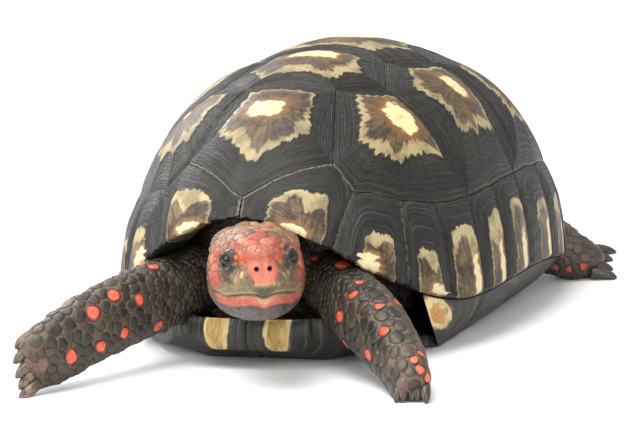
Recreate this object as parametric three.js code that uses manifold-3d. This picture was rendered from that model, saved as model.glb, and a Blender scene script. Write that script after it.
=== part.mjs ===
// Red-footed tortoise, life size, walking low on its plastron. Millimetres, +Z up, facing -Y, left side +X.
// The shell is a set of separate scutes round a solid trunk. The neck, head, jaw, eyes, legs and tail are
// closed solids of their own, cut clear of each other by a thin gap.
import * as THREE from 'three';
import Module from 'manifold-3d';
import { mergeVertices } from 'three/addons/utils/BufferGeometryUtils.js';

const wasm = await Module();
wasm.setup();

// ---- Driving dimensions -------------------------------------------------------------------------------

const SHELL_LENGTH = 250;
const SHELL_WIDTH = 168;
const SHELL_HEIGHT = 113.6;
const SHELL_SHIFT = [-3.6, 28.7];         // puts the middle of the whole model's box on the origin
const RIM_SQUARENESS = 2.5;              // superellipse power of the rim seen from above
const REAR_FLARE = 0.05;                 // the shell is wider behind than in front
const APEX_BACK = 2.7;                   // how far the top of the dome lies behind the middle
const DOME_POWER = [0.99, 0.84];         // roundness of the dome's profile, across and up
const RIM_HEIGHTS = [60.9, 41.5, 22.7, 22.7, 14.7, 27.5, 30];   // every 30 degrees from front to back
const RIM_SLOPE = { front: 20.7, side: 1.4, rear: 7.3 };        // degrees the dome leans in at the rim
const SCUTE_THICKNESS = 5;
const SEAM = 0.4;                        // gap between two neighbouring scutes
const SEAM_SLACK = 1.3;                  // the disc's seams are this much wider, as the dome slopes away
const HUMP = 1.3;                        // how far the middle of a big scute stands above its seams
const SEAM_DIP = 0.5;                    // and how far the seams lie below the even dome
const CLEARANCE = 0.35;                  // gap between flesh and whatever it touches
const TRUNK_DEPTH = 7.5;                 // the trunk lies this deep under the top of the shell
const TRUNK_LIFT = 1.2;                  // and this far above the plastron
const EDGE_STEP = 15;                    // longest straight stretch along a seam
// The long seams between the costal scutes curve backwards by this much on the flattened shell.
const SEAM_BOWS = { 'c t4': -0.028, 'e t6': -0.024, 'h t8': -0.02 };

// Corners of the scutes on the flattened shell: x to the left, y forward, the rim at radius 1.
const CORNERS = {
  f: [0, 0.928],
  a: [0.275, 0.671],
  b: [0.158, 0.37],
  c: [0.303, 0.228],
  d: [0.219, 0.09],
  e: [0.306, -0.036],
  g: [0.219, -0.21],
  h: [0.285, -0.335],
  i: [0.175, -0.485],
  j: [0.3, -0.735],
};
// Seams between marginals: angle from the front at the rim, angle and radius at the upper end.
const MARGINAL_SEAMS = [
  [21.5, 28.4, 0.795],
  [43.4, 43.4, 0.785],
  [57.5, 56, 0.778],
  [69.3, 68.5, 0.774],
  [79, 79, 0.77],
  [88.5, 88.5, 0.767],
  [98.5, 98.5, 0.767],
  [112, 113, 0.77],
  [125, 126, 0.785],
  [143, 143, 0.795],
  [166, 166, 0.81],
];
const VERTEBRALS = [
  ['f', 'a', 'b', 'b-', 'a-'],
  ['b', 'c', 'd', 'd-', 'c-', 'b-'],
  ['d', 'e', 'g', 'g-', 'e-', 'd-'],
  ['g', 'h', 'i', 'i-', 'h-', 'g-'],
  ['i', 'j', 't11', 't11-', 'j-', 'i-'],
];
const COSTALS = [
  ['a', 't1', 't2', 't3', 't4', 'c', 'b'],
  ['c', 't4', 't5', 't6', 'e', 'd'],
  ['e', 't6', 't7', 't8', 'h', 'g'],
  ['h', 't8', 't9', 't10', 'j', 'i'],
];
const MARGINAL_TOPS = [
  ['f', 'a', 't1'],
  ['t1', 't2'],
  ['t2', 't3'],
  ['t3', 't4'],
  ['t4', 't5'],
  ['t5', 't6'],
  ['t6', 't7'],
  ['t7', 't8'],
  ['t8', 't9'],
  ['t9', 't10'],
  ['t10', 'j', 't11'],
];

// The bridge joins carapace and plastron between these angles, and fades out over BRIDGE_FADE.
const BRIDGE = [46, 112];
const BRIDGE_FADE = 8;
const BRIDGE_SEAM = 0.93;                // how far out along the bridge its seam with the marginals lies
const BRIDGE_CURVE = 1.7;                // power of the bridge's rise from the floor to the rim
const KEEL_REACH = 0.98;                 // where the marginals turn under, on the same scale
const RIM_LIP = { thickness: 4.5, depth: 17 };

// Plastron, left half, seen from above: x to the left, y back. Seam corners on the midline and outline.
// A lobe's column is [y on the midline, edge point or degrees along the bridge, edge lift], and a bridge
// scute's is [y on the midline, degrees along the bridge, degrees at its top where they differ].
const PLASTRON = {
  gular: [[-117, [25, -115], 5], [-103, [34, -109], 5], [-88, [41, -101], 4.5]],
  humeral: [[-88, [41, -101], 4.5], [-74, [52, -86], 3], [-60, 58, 0]],
  pectoral: [[-60, 58, 46], [-53, 64, 58], [-46, 70]],
  abdominal: [[-46, 70], [-27, 80], [-8, 90], [11, 101], [30, 111]],
  femoral: [[30, 111, 0], [49, [47, 67], 4], [68, [38, 84], 4.5]],
  anal: [[68, [38, 84], 4.5], [80, [31, 96], 4.5], [92, [22, 104], 4]],
};
const BRIDGE_SCUTES = ['pectoral', 'abdominal'];
const PLASTRON_THICKNESS = 5;
// The lobes' ends curve up off the floor, and the front one thickens to a lip.
const LOBE_LIFT = { front: -97, rear: 84, run: 20, height: 7, lip: 3.5 };
const FLOOR_HALF_WIDTH = 61;

// Head, in its own frame: origin between the eyes, facing -Y. Stations from the snout to the nape:
// [y, half width, top, bottom].
const HEAD_STATIONS = [
  [-17.2, 4.2, 1.5, -13],
  [-16.2, 6.6, 3.2, -16],
  [-13, 9, 5.2, -19.5],
  [-8, 10.6, 7.8, -22.3],
  [0, 13.6, 10.8, -23.6],
  [8, 17.4, 12.4, -23.8],
  [15, 19, 12.4, -23],
  [21, 18, 10.6, -20.5],
  [26, 15.4, 7.6, -17.5],
  [30, 12, 3.5, -14],
];
const HEAD_WIDEST = -7;                  // height of the widest line, at the cheeks
const EYES_AT = [17.3, -150, 50];
const HEAD_YAW = 25.5;
const HEAD_PITCH = 8;
const EYE_RADIUS = 4.9;
const EYE_OFFSET = [9.2, -0.8, 0];
const MOUTH = { front: -13.6, corner: -11.6, back: 9 };

// Limbs and tail: stations [x, y, z, half height, half width] along the middle line, then the claws.
const NECK_STATIONS = [
  [0, -84, 36, 17, 19],
  [1, -100, 38, 16, 18],
  [4, -114, 40.5, 15, 16.5],
  [8, -126, 42, 14, 14.5],
  [11, -134, 43, 12, 12],
];
const FORELEG_RIGHT = [
  [-18, -80, 35, 13, 13],
  [-29, -101, 31, 14, 12],
  [-42, -122, 26.5, 14.2, 10.5],
  [-52, -142, 22, 14.4, 9.4],
  [-59, -155, 17.8, 13.8, 8.6],
  [-64.5, -164.5, 14, 12.8, 8],
  [-68.5, -171.5, 11.4, 10.8, 6.4],
];
const FORELEG_LEFT = [
  [18, -80, 32, 12, 13],
  [33, -102, 28, 13.4, 12.4],
  [47.5, -119, 23.4, 14, 11.4],
  [60, -133, 18, 13.4, 10.4],
  [70.5, -146, 12, 11.6, 9.2],
  [76, -154, 7.2, 10.4, 8.2],
  [79, -158.5, 3.8, 8.4, 6.8],
];
const HINDLEG_LEFT = [
  [34, 58, 33, 14, 14],
  [54, 66, 25, 13.5, 14],
  [69, 72, 16, 12.5, 13],
  [79, 77, 9.6, 10.8, 12.2],
  [85, 82.5, 6.8, 7.8, 10.6],
];
const HINDLEG_RIGHT = [
  [-32, 64, 33, 14, 14],
  [-50, 71, 25, 13.5, 14],
  [-64, 73, 16.5, 12.5, 13],
  [-74, 69, 10, 10.8, 12],
  [-79, 62.5, 7, 8, 10.6],
];
const TAIL_STATIONS = [
  [0, 92, 27, 9, 11],
  [3, 106, 21, 7.4, 8.4],
  [9, 115, 14.5, 5.4, 5.8],
  [16.5, 120, 9.6, 3.4, 3.4],
  [22, 122, 7, 1.6, 1.6],
];
// Claws: how many, where the row's middle is, its direction with the spacing, and where they point.
const CLAWS = {
  front_leg_right: { count: 5, at: [-68.5, -171.5, 11.2], row: [0.6, -1.2, -4.6], point: [-0.5, -0.9, -0.1] },
  front_leg_left: { count: 5, at: [80, -158.5, 3.6], row: [-0.8, 2.7, 0.5], point: [0.35, -0.75, -0.45] },
  hind_leg_left: { count: 4, at: [88, 82, 6], row: [-1.2, 5.2, 1.3], point: [0.92, 0.3, -0.22] },
  hind_leg_right: { count: 4, at: [-80, 61.5, 5.6], row: [4.2, -2.9, 1], point: [-0.55, -0.8, -0.2] },
};
const CLAW_SIZE = { length: 13, radius: 2.7, sunk: 3 };

// ---- Small maths --------------------------------------------------------------------------------------

const radians = (degrees) => degrees * Math.PI / 180;
const signedPower = (value, power) => Math.sign(value) * Math.abs(value) ** power;
const clamp01 = (value) => Math.min(1, Math.max(0, value));
const smooth = (value) => clamp01(value) ** 2 * (3 - 2 * clamp01(value));

// A smooth curve through evenly spaced values from 0 to 180 degrees, level at both ends.
function throughKnots(values, degrees) {
  const step = 180 / (values.length - 1);
  const place = Math.min(Math.abs(degrees) / step, values.length - 1 - 1e-9);
  const knot = Math.floor(place);
  const t = place - knot;
  const last = values.length - 1;
  const before = values[Math.abs(knot - 1)];
  const here = values[knot];
  const next = values[knot + 1];
  const after = values[knot + 2 > last ? 2 * last - knot - 2 : knot + 2];
  const curve = (2 * before - 5 * here + 4 * next - after) * t ** 2;
  const twist = (3 * here - before - 3 * next + after) * t ** 3;
  return here + ((next - before) * t + curve + twist) / 2;
}

// ---- The shell's own surface --------------------------------------------------------------------------

// The carapace above the flat disc point (p, q): p to the left, q forward, the rim at radius 1.
function carapace(p, q) {
  const rho = Math.hypot(p, q);
  const theta = Math.atan2(p, q);
  const forward = Math.cos(theta);
  const end = forward > 0 ? RIM_SLOPE.front : RIM_SLOPE.rear;
  const lean = radians(RIM_SLOPE.side + (end - RIM_SLOPE.side) * forward ** 2);
  const angle = lean + (Math.PI / 2 - lean) * (1 - rho);
  const rimHeight = throughKnots(RIM_HEIGHTS, theta * 180 / Math.PI);
  const across = Math.max(Math.cos(angle), 0) ** DOME_POWER[0] / Math.cos(lean) ** DOME_POWER[0];
  const up = signedPower(Math.sin(angle), DOME_POWER[1]);
  const rimUp = signedPower(Math.sin(lean), DOME_POWER[1]);
  const base = (rimHeight - SHELL_HEIGHT * rimUp) / (1 - rimUp);
  const y = -SHELL_LENGTH / 2 * signedPower(Math.cos(theta), 2 / RIM_SQUARENESS);
  const flare = 1 + REAR_FLARE * y / (SHELL_LENGTH / 2);
  const x = SHELL_WIDTH / 2 * signedPower(Math.sin(theta), 2 / RIM_SQUARENESS) * flare;
  return new THREE.Vector3(
    x * across,
    y * across + APEX_BACK * (1 - across),
    base + (SHELL_HEIGHT - base) * up,
  );
}

function carapaceNormal(p, q) {
  const pull = Math.min(1, 0.996 / Math.max(Math.hypot(p, q), 1e-6));
  const step = 0.002;
  const [u, v] = [p * pull, q * pull];
  const along = carapace(u + step, v).sub(carapace(u - step, v));
  const ahead = carapace(u, v + step).sub(carapace(u, v - step));
  const normal = ahead.cross(along).normalize();
  return normal.z < -0.2 ? normal.negate() : normal;
}

// How much of the bridge there is at an angle: 1 on the bridge, 0 at the free rim.
function bridgeAt(degrees) {
  const inside = (Math.abs(degrees) - BRIDGE[0] + BRIDGE_FADE) / BRIDGE_FADE;
  const outside = (BRIDGE[1] + BRIDGE_FADE - Math.abs(degrees)) / BRIDGE_FADE;
  return smooth(Math.min(inside, outside));
}

const rimPoint = (degrees) => carapace(Math.sin(radians(degrees)), Math.cos(radians(degrees)));

// Where the bridge comes down to the floor, beside the rim point at an angle.
function floorPoint(degrees) {
  const rim = rimPoint(degrees);
  const inward = (Math.abs(rim.x) - FLOOR_HALF_WIDTH) / Math.abs(rim.x);
  return new THREE.Vector3(rim.x * (1 - inward), rim.y * (1 - inward * 0.6), 0);
}

// A point on the bridge: reach 0 on the floor, 1 at the rim, rising ever steeper between.
function bridgePoint(degrees, reach) {
  const rim = rimPoint(degrees);
  const foot = floorPoint(degrees);
  const point = foot.clone().lerp(rim, reach);
  point.z = rim.z * reach ** BRIDGE_CURVE;
  return point;
}

function bridgeNormal(degrees, reach) {
  const around = bridgePoint(degrees + 1, reach).sub(bridgePoint(degrees - 1, reach));
  const up = bridgePoint(degrees, reach + 0.01).sub(bridgePoint(degrees, reach - 0.01));
  const normal = around.cross(up).normalize();
  const outward = rimPoint(degrees).setZ(-60);
  return normal.dot(outward) < 0 ? normal.negate() : normal;
}

// ---- Solids from rings of points ----------------------------------------------------------------------

function geometryFrom(points, triangles) {
  const geometry = new THREE.BufferGeometry();
  geometry.setAttribute('position', new THREE.Float32BufferAttribute(points.flatMap((p) => p.toArray()), 3));
  geometry.setIndex(triangles.flat());
  return geometry;
}

function skinBetween(rings) {
  const count = rings[0].length;
  const triangles = [];
  for (let r = 0; r < rings.length - 1; r++) {
    for (let k = 0; k < count; k++) {
      const [a, b] = [r * count + k, r * count + (k + 1) % count];
      triangles.push([a, b, b + count], [a, b + count, a + count]);
    }
  }
  return triangles;
}

// Joins closed rings of equal length into a skin, with a fan to a middle point at each end.
function loft(rings, start, end) {
  const count = rings[0].length;
  const triangles = skinBetween(rings);
  const tip = rings.length * count;
  for (let k = 0; k < count; k++) {
    const next = (k + 1) % count;
    const top = (rings.length - 1) * count;
    triangles.push([tip, next, k], [tip + 1, top + k, top + next]);
  }
  return geometryFrom([...rings.flat(), start, end], triangles);
}

// The same for thin sections, whose points run out along one face and back along the other.
function loftSlab(rings) {
  const count = rings[0].length;
  const triangles = skinBetween(rings);
  const top = (rings.length - 1) * count;
  for (let k = 0; k < count / 2 - 1; k++) {
    const [a, b, c, d] = [k, k + 1, count - 2 - k, count - 1 - k];
    triangles.push([a, c, b], [a, d, c], [top + a, top + b, top + c], [top + a, top + c, top + d]);
  }
  return geometryFrom(rings.flat(), triangles);
}

function middle(points) {
  return points.reduce((sum, p) => sum.add(p), new THREE.Vector3()).divideScalar(points.length);
}

function toSolid(geometry) {
  const bare = geometry.clone();
  bare.deleteAttribute('normal');
  bare.deleteAttribute('uv');
  const merged = mergeVertices(bare, 1e-4);
  const vertProperties = merged.attributes.position.array;
  const mesh = { numProp: 3, vertProperties, triVerts: merged.index.array };
  const solid = new wasm.Manifold(new wasm.Mesh(mesh));
  return solid.volume() < 0 ? inverted(mesh) : solid;
}

function inverted(mesh) {
  const turned = mesh.triVerts.slice();
  for (let k = 0; k < turned.length; k += 3) {
    [turned[k], turned[k + 1]] = [turned[k + 1], turned[k]];
  }
  return new wasm.Manifold(new wasm.Mesh({ ...mesh, triVerts: turned }));
}

function toGeometry(solid) {
  const { vertProperties, triVerts } = solid.getMesh();
  const geometry = new THREE.BufferGeometry();
  geometry.setAttribute('position', new THREE.Float32BufferAttribute(vertProperties, 3));
  geometry.setIndex(Array.from(triVerts));
  geometry.computeVertexNormals();
  return geometry;
}

// The solid with the clearance added on every side.
function grown(solid) {
  const steps = [[1, 0, 0], [-1, 0, 0], [0, 1, 0], [0, -1, 0], [0, 0, 1], [0, 0, -1]];
  return steps.reduce((sum, s) => sum.add(solid.translate(s.map((v) => v * CLEARANCE))), solid);
}

const largest = (solid) => solid.decompose().reduce((a, b) => (a.volume() > b.volume() ? a : b));
const cutBy = (solid, others) => (
  largest(others.reduce((rest, other) => rest.subtract(grown(other)), solid)).asOriginal().simplify(0.04)
);
const onFloor = (solid) => solid.trimByPlane([0, 0, 1], 0);

// ---- Model tree and materials -------------------------------------------------------------------------

const tortoise = new THREE.Group();
tortoise.position.set(SHELL_SHIFT[0], SHELL_SHIFT[1], 0);
const COLOURS = {
  scute: ['#2f2b28', 0.35],
  areola: ['#4a3f2e', 0.4],
  marginal: ['#3a342c', 0.35],
  plastron: ['#8f7a4c', 0.45],
  skin: ['#3b342b', 0.75],
  head: ['#c25a42', 0.6],
  jaw: ['#6b645c', 0.55],
  eye: ['#15110e', 0.08],
};
const solids = {};

function addMesh(name, geometry, finish) {
  const [color, roughness] = COLOURS[finish];
  const mesh = new THREE.Mesh(geometry, new THREE.MeshStandardMaterial({ color, roughness, metalness: 0 }));
  mesh.name = name;
  tortoise.add(mesh);
}

function addSolid(name, solid, finish) {
  solids[name] = solid;
  addMesh(name, toGeometry(solid), finish);
}

// ---- Carapace: vertebral and costal scutes ------------------------------------------------------------

MARGINAL_SEAMS.forEach(([, degrees, rho], k) => {
  CORNERS[`t${k + 1}`] = [rho * Math.sin(radians(degrees)), rho * Math.cos(radians(degrees))];
});

// A named corner on the flat disc; a name that ends in - is its mirror image on the right side.
function corner(name, side = 1) {
  const mirrored = name.endsWith('-') ? -side : side;
  const [p, q] = CORNERS[name.replace('-', '')];
  return [p * mirrored, q];
}

// A seam between two corners as evenly spaced disc points, without its last one.
function seamPoints(first, second, side) {
  const from = corner(first, side);
  const to = corner(second, side);
  const bow = SEAM_BOWS[[first, second].map((name) => name.replace('-', '')).sort().join(' ')] ?? 0;
  const length = carapace(...from).distanceTo(carapace(...to));
  const steps = Math.max(1, Math.round(length / EDGE_STEP));
  return Array.from({ length: steps }, (_, k) => {
    const t = k / steps;
    return [from[0] + (to[0] - from[0]) * t, from[1] + (to[1] - from[1]) * t + bow * 4 * t * (1 - t)];
  });
}

// How much to draw a point of the outline in towards the centre, so that its seam is half a gap away.
function drawnIn(outline, index, centre) {
  const gap = SEAM / SHELL_LENGTH * SEAM_SLACK;
  const neighbours = [outline.at(index - 1), outline[(index + 1) % outline.length]];
  const here = outline[index];
  const keep = neighbours.map((other) => {
    const [dx, dy] = [other[0] - here[0], other[1] - here[1]];
    const height = Math.abs(dx * (centre[1] - here[1]) - dy * (centre[0] - here[0])) / Math.hypot(dx, dy);
    return 1 - gap / height;
  });
  return Math.min(...keep);
}

// A closed plate between the shell's surface and the same surface one thickness deeper.
function shellPlate(outline) {
  const centre = [0, 1].map((axis) => outline.reduce((sum, p) => sum + p[axis], 0) / outline.length);
  const rings = [0.5, 1].map((share) => outline.map((point, k) => {
    const reach = share * drawnIn(outline, k, centre);
    return [centre[0] + (point[0] - centre[0]) * reach, centre[1] + (point[1] - centre[1]) * reach];
  }));
  const lifts = [HUMP * 0.45 - SEAM_DIP, -SEAM_DIP];
  const place = ([p, q], lift) => carapace(p, q).addScaledVector(carapaceNormal(p, q), lift);
  const outer = rings.map((ring, r) => ring.map((point) => place(point, lifts[r])));
  const inner = rings.map((ring) => ring.map((point) => place(point, -SCUTE_THICKNESS)));
  const [top, bottom] = [place(centre, HUMP - SEAM_DIP), place(centre, -SCUTE_THICKNESS)];
  return toSolid(loft([outer[0], outer[1], inner[1], inner[0]], top, bottom));
}

const outlineOf = (names, side) => names.flatMap((name, k) => (
  seamPoints(name, names[(k + 1) % names.length], side)
));

VERTEBRALS.forEach((names, k) => addSolid(`vertebral_${k + 1}`, shellPlate(outlineOf(names, 1)), 'scute'));
for (const [sideName, side] of [['left', 1], ['right', -1]]) {
  COSTALS.forEach((names, k) => {
    addSolid(`costal_${sideName}_${k + 1}`, shellPlate(outlineOf(names, side)), 'scute');
  });
}

// ---- Carapace: marginal scutes round the rim ----------------------------------------------------------

// The section of a marginal at one column: its outer face from the top border to the rim, then under it.
function marginalSection(top, degrees) {
  const rim = [Math.sin(radians(degrees)), Math.cos(radians(degrees))];
  const span = Math.hypot(rim[0] - top[0], rim[1] - top[1]);
  const shares = [SEAM / SHELL_LENGTH * SEAM_SLACK / span, 0.35, 0.7, 1];
  const face = shares.map((s) => carapace(top[0] + (rim[0] - top[0]) * s, top[1] + (rim[1] - top[1]) * s));
  const inner = face[0].clone().addScaledVector(carapaceNormal(...top), -SCUTE_THICKNESS);
  const edge = face[3];
  const inward = new THREE.Vector3(-edge.x, -edge.y, 0).normalize();
  const bridge = bridgeAt(degrees);
  const free = [
    edge.clone().addScaledVector(inward, 2).setZ(edge.z - RIM_LIP.thickness * 0.75),
    edge.clone().addScaledVector(inward, RIM_LIP.depth).setZ(edge.z - RIM_LIP.thickness),
  ];
  const border = BRIDGE_SEAM + 0.01;
  const keel = bridgePoint(degrees, border);
  const keelInner = keel.clone().addScaledVector(bridgeNormal(degrees, border), -SCUTE_THICKNESS);
  const under = [bridgePoint(degrees, KEEL_REACH), keel, keelInner];
  free.push(free[1].clone().addScaledVector(inward, 0.6).setZ(free[1].z + 3));
  return [...face, ...under.map((p, k) => free[k].clone().lerp(p, bridge)), inner];
}

function marginal(names, from, to, side) {
  const tops = names.slice(0, -1).flatMap((name, k) => seamPoints(name, names[k + 1], side));
  tops.push(corner(names.at(-1), side));
  const last = tops.length - 1;
  const trim = SEAM / 2 / rimPoint(from).distanceTo(rimPoint(to));
  const shift = tops.map((top, k) => (k === 0 ? trim : k === last ? -trim : 0));
  const ends = [tops[last][0] - tops[0][0], tops[last][1] - tops[0][1]];
  const rings = tops.map(([p, q], k) => {
    const degrees = from + (to - from) * (k / last + shift[k]);
    const slack = shift[k] * SEAM_SLACK;
    return marginalSection([p + ends[0] * slack, q + ends[1] * slack], degrees * side);
  });
  return toSolid(loft(rings, middle(rings[0]), middle(rings[last])));
}

for (const [sideName, side] of [['left', 1], ['right', -1]]) {
  MARGINAL_TOPS.forEach((names, k) => {
    const from = k === 0 ? 0 : MARGINAL_SEAMS[k - 1][0];
    addSolid(`marginal_${sideName}_${k + 1}`, marginal(names, from, MARGINAL_SEAMS[k][0], side), 'marginal');
  });
}
const rearSeam = MARGINAL_SEAMS.at(-1)[0];
addSolid('supracaudal', marginal(['t11', 't11-'], rearSeam, 360 - rearSeam, 1), 'marginal');

// ---- Plastron: six pairs of scutes under the body -----------------------------------------------------

// How far the underside of a lobe stands off the floor, at a share of its way out to the edge.
function lobeHeight(y, share, edgeLift) {
  const front = smooth((LOBE_LIFT.front - y) / LOBE_LIFT.run);
  const rear = smooth((y - LOBE_LIFT.rear) / LOBE_LIFT.run);
  return LOBE_LIFT.height * (front + rear * 0.6) + edgeLift * smooth((share - 0.6) / 0.4);
}

function lobeSection([midY, edge, edgeLift], side) {
  const shares = [0, 0.4, 0.75, 1];
  const [edgeX, edgeY] = Array.isArray(edge) ? edge : floorPoint(edge).toArray();
  const under = shares.map((share) => {
    const y = midY + (edgeY - midY) * share;
    const x = SEAM / 2 + (edgeX - SEAM / 2) * share;
    return new THREE.Vector3(x * side, y, lobeHeight(y, share, edgeLift));
  });
  const over = under.map((p) => {
    const lip = LOBE_LIFT.lip * smooth((LOBE_LIFT.front - p.y) / LOBE_LIFT.run);
    return p.clone().setZ(p.z + PLASTRON_THICKNESS + lip);
  });
  return [...under, ...over.reverse()];
}

function bridgeSection([midY, degrees, top = degrees], side) {
  const mid = new THREE.Vector3(SEAM / 2 * side, midY, 0);
  const foot = floorPoint(degrees * side);
  const reaches = [0.45, 0.72, BRIDGE_SEAM - 0.01];
  const leans = reaches.map((reach) => (degrees + (top - degrees) * reach) * side);
  const wall = reaches.map((reach, k) => bridgePoint(leans[k], reach));
  const outer = [mid, mid.clone().lerp(foot, 0.5), foot, ...wall];
  const inner = outer.map((p, k) => (k < 3
    ? p.clone().setZ(PLASTRON_THICKNESS)
    : p.clone().addScaledVector(bridgeNormal(leans[k - 3], reaches[k - 3]), -PLASTRON_THICKNESS)));
  return [...outer, ...inner.reverse()];
}

// Draws the first and last sections in by half a seam, towards their neighbours.
function seamed(rings) {
  const draw = (ring, next) => ring.map((p, k) => {
    const step = next[k].clone().sub(p);
    return p.clone().addScaledVector(step, SEAM / 2 / step.length());
  });
  return [draw(rings[0], rings[1]), ...rings.slice(1, -1), draw(rings.at(-1), rings.at(-2))];
}

for (const [sideName, side] of [['left', 1], ['right', -1]]) {
  for (const [name, columns] of Object.entries(PLASTRON)) {
    const section = BRIDGE_SCUTES.includes(name) ? bridgeSection : lobeSection;
    const rings = seamed(columns.map((column) => section(column, side)));
    addSolid(`plastron_${name}_${sideName}`, toSolid(loftSlab(rings)), 'plastron');
  }
}

// ---- Trunk: the solid body inside the shell -----------------------------------------------------------

// The trunk's wall at an angle, from the top of the dome down to the plastron.
function trunkSection(degrees) {
  const direction = [Math.sin(radians(degrees)), Math.cos(radians(degrees))];
  const dome = [0.22, 0.44, 0.64].map((rho) => {
    const [p, q] = direction.map((v) => v * rho);
    return carapace(p, q).addScaledVector(carapaceNormal(p, q), -TRUNK_DEPTH);
  });
  const rim = rimPoint(degrees);
  const bridge = bridgeAt(degrees);
  const pocket = THREE.MathUtils.lerp(0.56, direction[1] > 0 ? 0.68 : 0.56, Math.abs(direction[1]) ** 4);
  const wall = THREE.MathUtils.lerp(0.8, 0.83, bridge);
  const foot = THREE.MathUtils.lerp(pocket, 0.64, bridge);
  const shoulder = new THREE.Vector3(rim.x * wall, rim.y * wall, rim.z - 2 + 6 * bridge);
  const base = new THREE.Vector3(rim.x * foot, rim.y * foot, PLASTRON_THICKNESS + TRUNK_LIFT);
  const waist = shoulder.clone().lerp(base, 0.6).setZ(base.z + (shoulder.z - base.z) * 0.35);
  return [...dome, shoulder, waist, base];
}

const TRUNK_SECTIONS = 36;
const trunkTurn = 360 / TRUNK_SECTIONS;
const trunkColumns = Array.from({ length: TRUNK_SECTIONS }, (_, k) => trunkSection(k * trunkTurn));
const trunkRings = trunkColumns[0].map((_, level) => trunkColumns.map((column) => column[level]));
const trunkTop = new THREE.Vector3(0, APEX_BACK, SHELL_HEIGHT - TRUNK_DEPTH);
const trunkBase = new THREE.Vector3(0, 0, PLASTRON_THICKNESS + TRUNK_LIFT);
addSolid('trunk', toSolid(loft(trunkRings, trunkTop, trunkBase)), 'skin');

// ---- Limbs, neck and tail -----------------------------------------------------------------------------

// A rounded tube through stations [x, y, z, half height, half width], with SIDES points a ring.
function limb(stations, rings, sides, squareness) {
  const line = new THREE.CatmullRomCurve3(stations.map(([x, y, z]) => new THREE.Vector3(x, y, z)));
  const sizes = new THREE.CatmullRomCurve3(stations.map((s) => new THREE.Vector3(s[3], s[4], 0)));
  const sections = Array.from({ length: rings }, (_, r) => {
    const t = r / (rings - 1);
    const centre = line.getPoint(t);
    const along = line.getTangent(t);
    const up = new THREE.Vector3(0, 0, 1).addScaledVector(along, -along.z).normalize();
    const across = along.clone().cross(up);
    const size = sizes.getPoint(t);
    return Array.from({ length: sides }, (unused, k) => {
      const turn = (k + 0.5) * 2 * Math.PI / sides;
      return centre.clone()
        .addScaledVector(up, size.x * signedPower(Math.sin(turn), 2 / squareness))
        .addScaledVector(across, size.y * signedPower(Math.cos(turn), 2 / squareness));
    });
  });
  const start = middle(sections[0]);
  const tip = line.getPoint(1).addScaledVector(line.getTangent(1), sizes.getPoint(1).y * 0.45);
  return toSolid(loft(sections, start, tip));
}

function claws({ count, at, row, point }) {
  const forward = new THREE.Vector3(...point).normalize();
  const turn = new THREE.Quaternion().setFromUnitVectors(new THREE.Vector3(0, 1, 0), forward);
  return Array.from({ length: count }, (_, k) => {
    const cone = new THREE.ConeGeometry(CLAW_SIZE.radius, CLAW_SIZE.length, 7);
    cone.translate(0, CLAW_SIZE.length / 2 - CLAW_SIZE.sunk, 0).applyQuaternion(turn);
    const place = new THREE.Vector3(...at).addScaledVector(new THREE.Vector3(...row), k - (count - 1) / 2);
    return toSolid(cone.translate(place.x, place.y, place.z));
  });
}

const shellSolids = Object.entries(solids);
const nearby = (names) => shellSolids.filter(([name]) => names.test(name)).map(([, solid]) => solid);

// ---- Head, jaw and eyes, made in the head's own frame --------------------------------------------------

const headPlace = new THREE.Matrix4()
  .makeTranslation(...EYES_AT)
  .multiply(new THREE.Matrix4().makeRotationZ(radians(HEAD_YAW)))
  .multiply(new THREE.Matrix4().makeRotationX(radians(-HEAD_PITCH)));

function headRing([y, halfWidth, top, bottom]) {
  const sides = 20;
  return Array.from({ length: sides }, (_, k) => {
    const turn = (k + 0.5) * 2 * Math.PI / sides;
    const rise = Math.sin(turn) > 0 ? top - HEAD_WIDEST : HEAD_WIDEST - bottom;
    const x = halfWidth * signedPower(Math.cos(turn), 2 / 2.5);
    return new THREE.Vector3(x, y, HEAD_WIDEST + rise * signedPower(Math.sin(turn), 2 / 2.5));
  });
}

const headRings = HEAD_STATIONS.map(headRing);
const [snoutEnd, napeEnd] = [headRings[0], headRings.at(-1)].map(middle);
const wholeHead = toSolid(loft(headRings, snoutEnd.setY(snoutEnd.y - 0.8), napeEnd.setY(napeEnd.y + 1.5)));

// Everything under the mouth line: a block whose upper face slopes from the beak to the corner of the mouth.
const mouthShape = new THREE.Shape()
  .moveTo(-40, MOUTH.front)
  .lineTo(MOUTH.back, MOUTH.corner)
  .lineTo(MOUTH.back, -60)
  .lineTo(-40, -60);
const mouthBlock = new THREE.ExtrudeGeometry(mouthShape, { depth: 80, bevelEnabled: false })
  .translate(0, 0, -40)
  .applyMatrix4(new THREE.Matrix4().set(0, 0, 1, 0, 1, 0, 0, 0, 0, 1, 0, 0, 0, 0, 0, 1));
const underMouth = toSolid(mouthBlock);
const eyeSolid = (side, radius) => toSolid(new THREE.SphereGeometry(radius, 14, 9)
  .translate(EYE_OFFSET[0] * side, EYE_OFFSET[1], EYE_OFFSET[2]));
const inPlace = (solid) => solid.transform(headPlace.elements);

const eyes = [eyeSolid(1, EYE_RADIUS), eyeSolid(-1, EYE_RADIUS)];
const sockets = [eyeSolid(1, EYE_RADIUS + CLEARANCE), eyeSolid(-1, EYE_RADIUS + CLEARANCE)];
const skull = cutBy(wholeHead, [underMouth]).subtract(sockets[0]).subtract(sockets[1]);
addSolid('head', inPlace(skull), 'head');
addSolid('lower_jaw', inPlace(wholeHead.intersect(underMouth)), 'jaw');
addSolid('eye_left', inPlace(eyes[0]), 'eye');
addSolid('eye_right', inPlace(eyes[1]), 'eye');

const rims = nearby(/^marginal_(left|right)_[1-4]$|^plastron_(gular|humeral)/);
const headNow = [solids.head, solids.lower_jaw];
addSolid('neck', cutBy(limb(NECK_STATIONS, 8, 18, 2.2), [solids.trunk, ...headNow, ...rims]), 'skin');

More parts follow.
